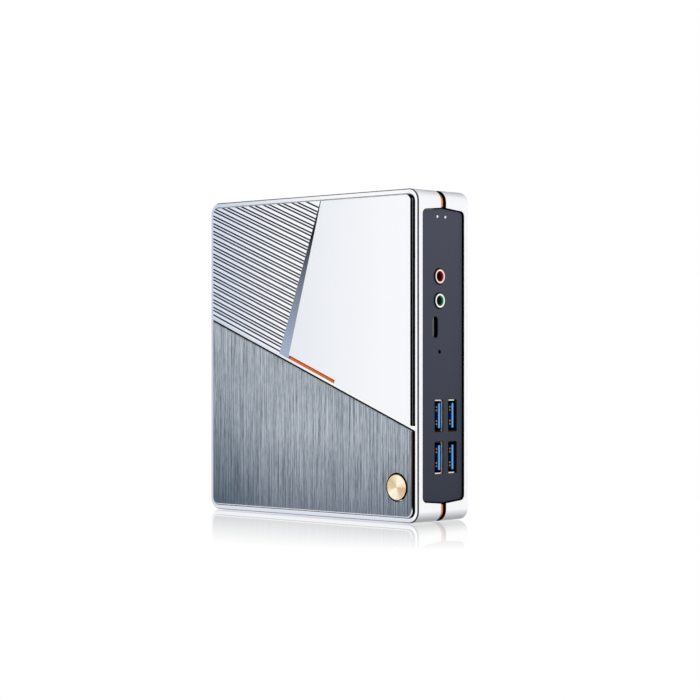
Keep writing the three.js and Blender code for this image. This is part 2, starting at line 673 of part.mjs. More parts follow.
function rearPortPanel() {
  const [low, high] = mirrored(PORT_PANEL_BACK, PORT_FACE);
  const { z: networkZ, half, high: networkHigh } = NETWORK;
  const networkHole = [2 * (networkHigh + CLEARANCE), 2 * (half + CLEARANCE)];
  const holes = [circle(INLET.y, INLET.z, INLET.hole, 24), centred(0, networkZ, ...networkHole)];
  for (const z of Object.values(VIDEO_ROWS)) holes.push(videoOutline(z, 0.4));
  const pitch = (VENT.top - VENT.bottom) / VENT.slots;
  for (let row = 0; row < VENT.slots; row += 1) {
    const z = VENT.bottom + (row + 0.5) * pitch;
    holes.push(centred(OPENING.peakY, z, VENT.length, VENT.height, 0.5, 1));
  }
  const plate = slabX(openingOutline(CLEARANCE), low, high);
  const cuts = holes.map((hole) => slabX(hole, low - 1, high + 1));
  return piece("rear_port_panel", plate.subtract(join(cuts)), PORT_GREY);
}

// The round power socket with its centre pin.
function powerInlet() {
  const { y, z, nose, bore, pin } = INLET;
  const [mouth, shoulder, floor, back] = [-61.6, -59.3, -51, -47];
  const half = 4.5;
  const body = box([shoulder, PORT_STANDING, z - half], [back, 3.6, z + half]);
  const front = slabX(circle(y, z, nose, 24), mouth, shoulder + 1);
  const hollow = slabX(circle(y, z, bore, 20), mouth - 1, floor);
  const contact = slabX(circle(y, z, pin, 10), mouth + 1.4, floor + 1);
  return piece("power_inlet", body.add(front).subtract(hollow).add(contact), BLACK_PLASTIC);
}

// The six-sided mouth of a video socket, its narrower side towards the board.
function videoOutline(z, grow = 0) {
  const [low, high] = [-6.4 - grow, -0.8 + grow];
  const [narrow, wide] = [5.9 + grow, 7.6 + grow];
  const knee = -4.4;
  return outline([
    [low, z - narrow],
    [knee, z - wide],
    [high, z - wide],
    [high, z + wide],
    [knee, z + wide],
    [low, z + narrow],
  ]);
}

function videoPort(name, z) {
  const [mouth, back] = [-61.1, -49.6];
  const wall = -0.35;
  const shell = slabX(videoOutline(z), mouth, back);
  const cavity = slabX(videoOutline(z, wall), mouth - 1, back - 1.5);
  const tongue = box([mouth + 1.2, -3.9, z - 5.6], [back - 1, -2.7, z + 5.6]);
  return piece(`video_port_${name}`, shell.subtract(cavity).add(tongue), STEEL);
}

function networkPort() {
  const { z, half, high, socket, latch } = NETWORK;
  const [mouth, latchEnd, floor, back] = [-61, -50, -46, -40];
  const body = box([mouth, PORT_STANDING, z - half], [back, high, z + half]);
  const hollow = box([mouth - 1, -3.6, z - socket], [floor, 4.2, z + socket]);
  const notch = box([mouth - 1, 4.1, z - latch], [latchEnd, 5.8, z + latch]);
  return piece("network_port", body.subtract(hollow).subtract(notch), STEEL);
}

// ---------------------------------------------------------------- board and what it carries

function mainBoard() {
  const side = WIDTH / 2 - WALL - 1;
  const end = WALL + 0.8;
  const reach = 4; // of the notches round the case screws
  let board = slabY(rectangle(-side, end, side, HEIGHT - end, 1, 2), BOARD_FRONT, BOARD_BACK);
  for (const [x, z] of fourPlaces(CASE_SCREWS)) {
    const [outX, outZ] = [Math.sign(x) * BIG, z < HEIGHT / 2 ? -BIG : BIG];
    const [inX, inZ] = [x - Math.sign(outX) * reach, z - Math.sign(outZ) * reach];
    const notch = rectangle(Math.min(inX, outX), Math.min(inZ, outZ), Math.max(inX, outX), Math.max(inZ, outZ));
    board = board.subtract(slabY(notch, BOARD_FRONT - 1, BOARD_BACK + 1));
  }
  for (const [x, z] of fourPlaces(BOARD_SCREWS)) {
    board = board.subtract(cylinderY(x, z, BOARD_BOSS.hole, BOARD_FRONT - 1, BOARD_BACK + 1));
  }
  return piece("main_board", board, BOARD_GREEN);
}

function processor() {
  const { x, z, side, top } = PROCESSOR;
  const die = { width: 14, height: 11, thickness: 0.5 };
  const carrier = slabY(centred(x, z, side, side), BOARD_BACK + CLEARANCE, top - die.thickness);
  const chip = slabY(centred(x, z, die.width, die.height), top - die.thickness - 0.1, top);
  return piece("processor", carrier.add(chip), BOARD_GREEN);
}

function coldPlate() {
  const { x, z, top } = PROCESSOR;
  const plate = { side: 36, thickness: 1.7, edge: 0.3 };
  const front = top + CLEARANCE;
  const points = centred(x, z, plate.side, plate.side, 2, 2);
  return piece("cold_plate", slabY(points, front, front + plate.thickness, plate.edge), COPPER);
}

// A flattened pipe over the cold plate, past the fan and behind the fins.
function heatPipe() {
  const { front, thickness, width, runZ, finX, bend } = PIPE;
  const y = front + thickness / 2;
  const at = (x, z) => new THREE.Vector3(x, y, z);
  const plateX = PROCESSOR.x;
  const path = new THREE.CurvePath();
  path.add(new THREE.LineCurve3(at(plateX, PROCESSOR.z + 15), at(plateX, runZ + bend)));
  path.add(new THREE.QuadraticBezierCurve3(at(plateX, runZ + bend), at(plateX, runZ), at(plateX - bend, runZ)));
  path.add(new THREE.LineCurve3(at(plateX - bend, runZ), at(finX + bend, runZ)));
  path.add(new THREE.QuadraticBezierCurve3(at(finX + bend, runZ), at(finX, runZ), at(finX, runZ + bend)));
  path.add(new THREE.LineCurve3(at(finX, runZ + bend), at(finX, VENT.top)));
  const section = new THREE.Shape(centred(0, 0, thickness, width, thickness / 2 - 0.01, 2));
  const geometry = new THREE.ExtrudeGeometry(section, { extrudePath: path, steps: 34 });
  return piece("heat_pipe", solidOf(geometry), COPPER);
}

// A comb of fins on a back plate, in front of the vent.
function finStack() {
  const [left, right] = [-57.2, -45.4];
  const [front, back] = [-0.3, 8];
  const count = 21;
  const half = 0.25; // of a fin's thickness
  const pitch = (VENT.top - VENT.bottom) / (count - 1);
  const plate = box([left, front, VENT.bottom - half], [right, front + 0.8, VENT.top + half]);
  const fins = Array.from({ length: count }, (_, i) => {
    const z = VENT.bottom + i * pitch;
    return box([left, front, z - half], [right, back, z + half]);
  });
  return piece("fin_stack", join([plate, ...fins]), ALUMINIUM);
}

function fanHousing() {
  const { x, z, side, front, back, bore, inlet } = FAN;
  const wall = 1.2;
  const body = slabY(centred(x, z, side, side, 4, 3), front, back);
  const chamber = slabY(circle(x, z, bore, 40), front + wall, back - wall);
  const outlet = slabY(rectangle(x - side, z - side / 2 + 2, x, z + bore), front + wall, back - wall);
  const intake = slabY(circle(x, z, inlet, 32), back - wall - 1, back + 1);
  const shaft = cylinderY(x, z, ROTOR.shaft, front + 0.2, ROTOR.back - wall);
  const legPlace = side / 2 - 3;
  const legs = [-1, 1].map((s) => {
    return cylinderY(x + s * legPlace, z + s * legPlace, 2, BOARD_BACK + CLEARANCE, front + 0.5, 12);
  });
  const scroll = body.subtract(join([chamber, outlet, intake]));
  return piece("fan_housing", join([scroll, shaft, ...legs]), BLACK_PLASTIC);
}

function fanRotor() {
  const { x, z } = FAN;
  const { radius, hub, blades, front, back, shaft } = ROTOR;
  const top = 0.8; // thickness of the cup's top and of the disc
  const cup = slabY(circle(x, z, hub, 28), front, back, 0.4);
  const disc = slabY(circle(x, z, radius - 4, 32), front, front + top);
  const bore = cylinderY(x, z, shaft + CLEARANCE, front - 1, back - top);
  const blade = { length: radius - hub + 1.5, width: back - front - top, thickness: 0.7, sweep: 0.45, aside: 2.4 };
  const vanes = Array.from({ length: blades }, (_, i) => {
    const vane = new THREE.BoxGeometry(blade.length, blade.width, blade.thickness);
    vane.rotateY(blade.sweep).translate((radius + hub) / 2 - 0.6, (front + back) / 2, blade.aside);
    vane.rotateY((2 * Math.PI * i) / blades);
    return solidOf(vane.translate(x, 0, z));
  });
  return piece("fan_rotor", join([cup, disc, ...vanes]).subtract(bore), BLACK_PLASTIC);
}

// A memory socket with its two side arms, and the module lying in it.
function memory() {
  const [left, right] = [-33.8, 33.8];
  const [low, high] = [36, 66];
  const level = -3; // of the module's near face
  const bar = { beside: 2.5, below: 2, above: 4.5, thickness: 2.4 };
  const arm = { width: 1.6, length: 22, thickness: 1.6 };
  const chip = { z: 50, width: 12, height: 9, columns: [-25, -8.5, 8.5, 25] };
  const socketLow = [left - bar.beside, PORT_STANDING, high - bar.below];
  const socket = box(socketLow, [right + bar.beside, level + bar.thickness, high + bar.above]);
  const arms = [left - bar.beside, right + bar.beside - arm.width].map((x) => {
    return box([x, PORT_STANDING, high - arm.length], [x + arm.width, level + arm.thickness, high]);
  });
  const slot = box([left - 0.4, level - 0.4, high - 3], [right + 0.4, level + 1.4, high + CLEARANCE]);
  const sheet = box([left, level, low], [right, level + 1, high]);
  const chips = chip.columns.map((x) => slabY(centred(x, chip.z, chip.width, chip.height), level + 0.9, level + 2.1));
  return [
    piece("memory_socket", join([socket, ...arms]).subtract(slot), BLACK_PLASTIC),
    piece("memory_module", join([sheet, ...chips]), BOARD_GREEN),
  ];
}

// A storage card lying over the board in its edge socket.
function storage() {
  const [left, right] = [-40, 40];
  const [low, high] = [11, 33];
  const level = -4.2; // of the card's near face
  const chip = { z: 22, width: 16, height: 15, columns: [-22, 2, 26] };
  const socket = box([left - 4, PORT_STANDING, low - 0.6], [left + 2, level + 2, high + 0.6]);
  const slot = box([left - 1, level - 0.35, low - CLEARANCE], [left + 3, level + 1.15, high + CLEARANCE]);
  const sheet = box([left, level, low], [right, level + 0.8, high]);
  const chips = chip.columns.map((x) => slabY(centred(x, chip.z, chip.width, chip.height), level + 0.7, level + 2));
  return [
    piece("storage_socket", socket.subtract(slot), BLACK_PLASTIC),
    piece("storage_card", join([sheet, ...chips]), BOARD_GREEN),
  ];
}

function wirelessModule() {
  const [x, z] = [20, 125.5];
  const canFront = -6;
  const carrier = slabY(centred(x, z, 16, 12), BOARD_BACK + CLEARANCE, canFront + 0.1);
  const can = slabY(centred(x, z, 14.4, 10.4, 0.5, 1), canFront, canFront + 1.4);
  return piece("wireless_module", carrier.add(can), STEEL);
}

// The clock's cell lies on the front of the board.
function coinCell() {
  const [x, z, radius, thickness] = [-20, 30, 10, 3.2];
  const back = BOARD_FRONT - CLEARANCE;
  return piece("coin_cell", slabY(circle(x, z, radius, 32), back - thickness, back, 0.3), STEEL);
}

// ---------------------------------------------------------------- the whole

function assembly(...pieces) {
  const group = new THREE.Group();
  group.add(...pieces.flat());
  return group;
}

const computer = assembly(
  assembly(faceFrame(), panelCarrier(), brushedPanel(), smoothPanel(), orangeInlay(), ribbedPanel()),
  assembly(powerButton(), powerSwitch()),
  assembly(frontShell(), rearShell(), seamBands()),
  assembly(baseCover(), feet(), caseScrews()),
  assembly(
    portPanel(),
    lightPipe(),
    audioJack("mic", JACKS.mic, PINK),
    audioJack("headphone", JACKS.headphone, GREEN),
    usbC(),
    resetButton(),
    usbStack("upper", USB_ROWS.upper),
    usbStack("lower", USB_ROWS.lower),
  ),
  assembly(
    rearPortPanel(),
    powerInlet(),
    videoPort("a", VIDEO_ROWS.a),
    videoPort("b", VIDEO_ROWS.b),
    networkPort(),
  ),
  assembly(mainBoard(), boardScrews(), processor(), coldPlate(), heatPipe(), finStack()),
  assembly(fanHousing(), fanRotor(), memory(), storage(), wirelessModule(), coinCell()),
);

export default computer;
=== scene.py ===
"""Looks of the mini desktop computer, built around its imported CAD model.

Lengths in this file are millimetres until a mesh is made, and the frame is the CAD's:
+Z up, the decorated face looks along -Y, the main port side along +X.
"""

import math

import bmesh
import bpy
from mathutils import Matrix, Vector
from mathutils.geometry import tessellate_polygon


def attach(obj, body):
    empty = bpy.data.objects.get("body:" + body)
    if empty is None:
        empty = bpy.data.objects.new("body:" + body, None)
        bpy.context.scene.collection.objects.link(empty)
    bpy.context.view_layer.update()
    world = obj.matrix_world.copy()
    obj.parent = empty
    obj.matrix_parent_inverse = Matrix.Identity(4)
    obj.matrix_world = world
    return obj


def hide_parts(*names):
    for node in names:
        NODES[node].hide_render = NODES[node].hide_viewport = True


MM = 0.001
SMOOTH_ANGLE = math.radians(40)

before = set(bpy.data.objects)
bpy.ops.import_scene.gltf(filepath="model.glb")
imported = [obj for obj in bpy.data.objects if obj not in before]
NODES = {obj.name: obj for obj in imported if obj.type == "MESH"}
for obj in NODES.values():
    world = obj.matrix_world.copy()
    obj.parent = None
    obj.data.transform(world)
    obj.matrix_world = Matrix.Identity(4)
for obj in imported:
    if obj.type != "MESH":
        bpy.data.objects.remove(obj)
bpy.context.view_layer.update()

# ------------------------------------------------------------------ driving dimensions

WIDTH = 124
HEIGHT = 136
CORNER_RADIUS = 5
WALL = 2.2
CLEARANCE = 0.3

# Layers along Y, from the decorated face to the feet.
BUTTON_FRONT = -17.2
PANEL_FRONT = -16.95
BAR_FRONT = -16.7
BEZEL_FRONT = -16.4
PANEL_BACK = -15.8
LIP_FRONT = -15.7
CARRIER_BACK = -14.9
WEB_FRONT = -14.6
WEB_BACK = -13.6
FRONT_SHELL_BACK = -2.1
STRIP_BACK = -0.75
REAR_SHELL_FRONT = 0.85
LEDGE_FRONT = 12.6
LEDGE_BACK = 13.7
COVER_FRONT = 14.0
COVER_BACK = 15.5
SHELL_BACK = 15.6
FOOT_BACK = 17.2

# The decorated face.
BEZEL_CHAMFER = 0.45
PANEL_CHAMFER = 0.37
WINDOW = {"left": -60.4, "right": 60.4, "bottom": 2.0, "top": 134.0, "radius": 3.4}
PANEL = {"left": -60.1, "right": 58.6, "bottom": 2.3, "top": 133.6, "radius": 3.0}
BRUSHED_RIGHT = 59.2
SMOOTH_RIGHT = 58.3
SMOOTH_CHAMFER = 0.1
CHANNEL_LINE = (58.55, 58.95)
SEAM_HEIGHT = 60.7
SEAM_ANGLE = math.radians(21.1)
SEAM_LOW = -0.4
BAR_LOW = 0.35
PANEL_LOW = 1.42
FACET_START = -19.6
FACET_SLOPE = 0.15
SMOOTH_EDGE = {"x": -11.9, "z": 68.4, "lean": 0.297}
INLAY = {"start": -12.9, "end": 15.2, "low": PANEL_LOW, "high": 2.55}
GROOVE_PITCH = 3.16
GROOVE_PAIR = 1.91
GROOVE_FIRST = 2.46
GROOVE_WIDTH = 0.58
GROOVE_DEPTH = 0.5
GROOVE_PAIRS = 21
GROOVE_LIP = 0.07
BUTTON = {"x": 50.8, "z": 14.4, "radius": 5.2, "gap": 0.7}

# The port sides.
OPENING = {"front": -13.58, "back": 12.3, "peak_y": -0.6, "bottom": 8.5, "top": 127.7,
           "peak": 1.1, "radius": 2.3}
PORT_FACE = 61.2
PORT_PANEL_BACK = 59.7
PORT_GAP = 0.5
PORT_STANDING = -6.7  # where the sockets' bodies stand on the board, along Y
USB_ROWS = {"upper": 43.5, "lower": 26.3}
USB_COLUMNS = (-2.6, 5.8)
USB_MOUTH = {"height": 13.3, "width": 5.5, "wall": 0.4, "front": 60.7, "back": 47.6}
USB_BODY_BACK = 44.5
JACKS = {"mic": 100.55, "headphone": 90.6}
JACK_Y = -2.45
JACK_RADIUS = 3.0
JACK_BORE = 2.1
JACK_FRONT = 61.9
USB_C = {"y": -4.75, "z": 79.75, "height": 8.94, "width": 3.16, "wall": 0.25}
RESET = {"y": -2.2, "z": 69.7, "radius": 0.85}
LIGHTS = {"z": 125.0, "columns": (-3.4, 1.5), "radius": 0.62}
INLET = {"y": -1.6, "z": 15.5, "hole": 3.8, "nose": 3.5, "bore": 2.85}
VIDEO_ROWS = {"a": 29.5, "b": 46.5}
NETWORK = {"z": 63.0, "half": 8.0, "high": 6.7, "socket": 5.9, "latch": 3.0}
VENT = {"bottom": 84.0, "top": 124.0, "slots": 13, "height": 1.6, "length": 18.0}

# The base cover.
CASE_SCREWS = {"x": 55.6, "low": 6.4, "high": HEIGHT - 6.4}
FEET = {"x": 50.5, "low": 22.0, "high": HEIGHT - 22.0}
FOOT = {"radius": 6.0, "front": 15.3}
FAN = {"x": -21.5, "z": 103.4}
FAN_VENT = {"radius": 21.0, "slots": 9, "width": 2.0}
COVER_SLOTS = {"count": 7, "first": 32.0, "pitch": 5.0, "length": 46.0, "height": 2.0}

# ------------------------------------------------------------------ camera

VIEW_ANGLE = math.radians(43.7)
VIEW_FROM = (606.07, -625.53, 67.14)
LENS = 103.89
VIEW_RAISED = 8 / 700  # share of the picture's width by which the view is shifted up


def add_camera():
    """A level camera to the right of the face, with a long lens."""
    data = bpy.data.cameras.new("camera")
    data.lens = LENS
    data.shift_y = VIEW_RAISED
    data.clip_start = 0.01
    data.clip_end = 50
    camera = bpy.data.objects.new("camera", data)
    camera.location = Vector(VIEW_FROM) * MM
    camera.rotation_euler = (math.pi / 2, 0, VIEW_ANGLE)
    bpy.context.scene.collection.objects.link(camera)
    bpy.context.scene.camera = camera


# ------------------------------------------------------------------ outlines


def without_repeats(points):
    """The closed outline without points that lie on the one before."""
    return [p for i, p in enumerate(points) if (p - points[i - 1]).length > 1e-5]


def outline(corners, steps=10):
    """A closed outline from corners (x, y, radius), where a rounded corner is an arc."""
    points = []
    for i, (x, y, radius) in enumerate(corners):
        corner = Vector((x, y))
        if radius == 0:
            points.append(corner)
            continue
        back = (Vector(corners[i - 1][:2]) - corner).normalized()
        ahead = (Vector(corners[(i + 1) % len(corners)][:2]) - corner).normalized()
        half = back.angle(ahead) / 2
        centre = corner + (back + ahead).normalized() * (radius / math.sin(half))
        arm = corner + back * (radius / math.tan(half)) - centre
        turn = math.copysign(math.pi - 2 * half, ahead.cross(back))
        for k in range(steps + 1):
            points.append(centre + Matrix.Rotation(turn * k / steps, 2) @ arm)
    return without_repeats(points)


def rectangle(left, bottom, right, top, radius=0.0, steps=10):
    """A rectangle between its sides, with rounded corners."""
    corners = [(left, bottom), (right, bottom), (right, top), (left, top)]
    return outline([(*corner, radius) for corner in corners], steps)


def centred(x, y, width, height, radius=0.0, steps=8):
    """A rectangle about its middle, with rounded corners."""
    return rectangle(x - width / 2, y - height / 2, x + width / 2, y + height / 2, radius, steps)


def circle(x, y, radius, sides=48):
    turns = [k * (2 * math.pi / sides) for k in range(sides)]
    return [Vector((x + radius * math.cos(t), y + radius * math.sin(t))) for t in turns]


def area(points):
    """The area inside a closed outline, negative if it runs clockwise."""
    return sum(a.cross(b) for a, b in zip(points, points[1:] + points[:1])) / 2


def drawn_in(points, distance):
    """The closed outline moved to its left by a distance, with mitred corners."""
    moved = []
    for i, point in enumerate(points):
        before = (point - points[i - 1]).normalized()
        after = (points[(i + 1) % len(points)] - point).normalized()
        n1 = Vector((-before.y, before.x))
        n2 = Vector((-after.y, after.x))
        moved.append(point + (n1 + n2) * (distance / (1 + n1.dot(n2))))
    return moved


def case_outline(inset=0.0, steps=12):
    """The case's rounded square, over X and Z."""
    side = WIDTH / 2 - inset
    return rectangle(-side, inset, side, HEIGHT - inset, max(CORNER_RADIUS - inset, 1), steps)


def opening_outline(inset=0.0):
    """A port side's opening, over Y and Z: straight sides with shallow peaks above and below."""
    o = OPENING
    radius = o["radius"] - inset
    return outline([
        (o["front"] + inset, o["bottom"] + inset, radius),
        (o["peak_y"], o["bottom"] - o["peak"] + inset, 0),
        (o["back"] - inset, o["bottom"] + inset, radius),
        (o["back"] - inset, o["top"] - inset, radius),
        (o["peak_y"], o["top"] + o["peak"] - inset, 0),
        (o["front"] + inset, o["top"] - inset, radius),
    ])


# ------------------------------------------------------------------ solids


def on_face(u, v, depth):
    """An outline over X and Z, with its depth along Y."""
    return (u, depth, v)


def on_side(u, v, depth):
    """An outline over Y and Z, with its depth along X."""
    return (depth, u, v)


def along_seam(u, v, depth):
    """An outline over the seam's own directions, with its depth along Y."""
    c, s = math.cos(SEAM_ANGLE), math.sin(SEAM_ANGLE)
    return (u * c + v * s, depth, SEAM_HEIGHT - u * s + v * c)


def across_seam(u, v, depth):
    """An outline over the seam's direction and Y, with its depth square to the seam."""
    return along_seam(u, depth, v)


def through_seam(u, v, depth):
    """An outline over the height above the seam and Y, with its depth along the seam."""
    return along_seam(depth, u, v)


def quarter(steps):
    """The angles of a quarter turn, from 0 up."""
    return [math.pi / 2 * k / steps for k in range(steps + 1)]


def rounded(front, back, front_edge=0.1, back_edge=0.1, steps=3):
    """A profile of (depth, inset) from a front cap to a back cap, with rounded edges."""
    profile = [(front + front_edge * (1 - math.cos(t)), front_edge * (1 - math.sin(t)))
               for t in quarter(steps)]
    profile += [(back - back_edge * (1 - math.cos(t)), back_edge * (1 - math.sin(t)))
                for t in reversed(quarter(steps))]
    return profile


def chamfered(front, back, chamfer):
    """A profile from a front cap with a chamfered edge to a back cap."""
    return [(front, chamfer), (front + chamfer, 0), (back, 0)]


def solid(loops, place):
    """A closed solid between two flat caps.

    Each loop is (points, profile). The first is the outside and the others are holes.
    """
    mesh = bmesh.new()
    caps = ([], [])
    for i, (points, profile) in enumerate(loops):
        forward = area(points) > 0
        if forward != (i == 0):
            points = points[::-1]
        rings = []
        for depth, inset in profile:
            ring = drawn_in(points, inset)
            rings.append([mesh.verts.new(place(p.x, p.y, depth)) for p in ring])
            if len(rings) == 1:
                caps[0].append((ring, rings[-1]))
        caps[1].append((ring, rings[-1]))
        bridge(mesh, rings)
    for cap in caps:
        flat = [[Vector((p.x, p.y, 0)) for p in ring] for ring, _ in cap]
        verts = [v for _, ring in cap for v in ring]
        for triangle in tessellate_polygon(flat):
            mesh.faces.new([verts[k] for k in triangle])
    return closed(mesh)


def bridge(mesh, rings, endless=False):
    """Faces between each ring of vertices and the next one."""
    following = rings[1:] + rings[:1] if endless else rings[1:]
    for ring, after in zip(rings, following):
        for k in range(len(ring)):
            mesh.faces.new([ring[k - 1], ring[k], after[k], after[k - 1]])


def hoop(points, profile, place):
    """A closed ring: a closed profile of (depth, inset) carried round an outline."""
    mesh = bmesh.new()
    if area(points) < 0:
        points = points[::-1]
    rings = []
    for depth, inset in profile:
        rings.append([mesh.verts.new(place(p.x, p.y, depth)) for p in drawn_in(points, inset)])
    bridge(mesh, rings, endless=True)
    return closed(mesh)


def circles(mesh, profile, u, v, place, sides):
    """A ring of vertices for each (radius, depth) pair."""
    rings = []
    for radius, depth in profile:
        rings.append([mesh.verts.new(place(p.x, p.y, depth)) for p in circle(u, v, radius, sides)])
    return rings


def turned(profile, u, v, place, sides=64):
    """A solid of revolution: (radius, depth) pairs that start and end on the axis."""
    mesh = bmesh.new()
    rings = circles(mesh, [pair for pair in profile if pair[0] > 0], u, v, place, sides)
    bridge(mesh, rings)
    for ring, (_, depth) in ((rings[0], profile[0]), (rings[-1], profile[-1])):
        tip = mesh.verts.new(place(u, v, depth))
        for k in range(sides):
            mesh.faces.new([ring[k - 1], ring[k], tip])
    return closed(mesh)


def turned_ring(profile, u, v, place, sides=64):
    """A ring of revolution: a closed profile of (radius, depth) pairs."""
    mesh = bmesh.new()
    bridge(mesh, circles(mesh, profile, u, v, place, sides), endless=True)
    return closed(mesh)


def closed(mesh):
    """The closed mesh with all its faces turned outwards."""
    bmesh.ops.recalc_face_normals(mesh, faces=mesh.faces)
    return mesh


def block(corner, opposite, edge=0.1, steps=2):
    """A box with rounded edges between two opposite corners."""
    low, high = zip(*map(sorted, zip(corner, opposite)))
    points = rectangle(low[0], low[2], high[0], high[2], min(edge, (high[0] - low[0]) / 3), steps)
    return solid([(points, rounded(low[1], high[1], edge, edge, steps))], on_face)


def bar(z, half, low, high, edge=0.1, steps=2):
    """A block between two corners over X and Y, with half its height above z and half below."""
    return block((*low, z - half), (*high, z + half), edge, steps)


def spaced(count, pitch):
    """Offsets at an even pitch, about 0."""
    return [(k - (count - 1) / 2) * pitch for k in range(count)]


def joined(solids):
    """Several solids as one mesh, each one still closed."""
    whole = bmesh.new()
    for part in solids:
        data = bpy.data.meshes.new("part")
        part.to_mesh(data)
        part.free()
        whole.from_mesh(data)
        bpy.data.meshes.remove(data)
    return whole


def temporary(mesh):
    """An object for a boolean operation, in place of the mesh."""
    data = bpy.data.meshes.new("temporary")
    mesh.to_mesh(data)
    mesh.free()
    thing = bpy.data.objects.new("temporary", data)
    bpy.context.scene.collection.objects.link(thing)
    return thing


def combined(body, tool, operation):
    """The body after a boolean operation with the tool."""
    things = [temporary(body), temporary(tool)]
    modifier = things[0].modifiers.new("combine", "BOOLEAN")
    modifier.operation = operation
    modifier.object = things[1]
    modifier.solver = "EXACT"
    graph = bpy.context.evaluated_depsgraph_get()
    result = bmesh.new()
    result.from_object(things[0], graph)
    for thing in things:
        data = thing.data
        bpy.data.objects.remove(thing)
        bpy.data.meshes.remove(data)
    bmesh.ops.remove_doubles(result, verts=result.verts, dist=1e-4)
    return result


def cut(body, tool):
    """The body without the tool."""
    return combined(body, tool, "DIFFERENCE")


def common(body, tool):
    """What the body and the tool share."""
    return combined(body, tool, "INTERSECT")


def eased(mesh, width, angle=60, steps=2):
    """Rounds the edges that turn by more than an angle in degrees."""
    bmesh.ops.dissolve_limit(mesh, angle_limit=math.radians(0.5), verts=mesh.verts, edges=mesh.edges)
    sharp = [e for e in mesh.edges if e.is_manifold and e.calc_face_angle() > math.radians(angle)]
    bmesh.ops.bevel(
        mesh, geom=sharp, offset=width, segments=steps, profile=0.5, affect="EDGES", clamp_overlap=True)
    return mesh


def add_piece(name, mesh, material, replaces=(), body="case"):
    """A finished piece that rides on a body and stands for CAD nodes."""
    data = bpy.data.meshes.new(name)
    for vert in mesh.verts:
        vert.co *= MM
    mesh.to_mesh(data)
    mesh.free()
    data.polygons.foreach_set("use_smooth", [True] * len(data.polygons))
    data.set_sharp_from_angle(angle=SMOOTH_ANGLE)
    data.materials.append(material)
    thing = bpy.data.objects.new(name, data)
    bpy.context.scene.collection.objects.link(thing)
    weighted = thing.modifiers.new("flat faces stay flat", "WEIGHTED_NORMAL")
    weighted.keep_sharp = True
    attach(thing, body)
    if replaces:
        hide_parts(*replaces)
    return thing


# ------------------------------------------------------------------ materials

# Near black: the colour of matt black plastic, and also painted shade on plate walls that face dark gaps.
BLACK_AND_SHADE = (0.003, 0.003, 0.004)


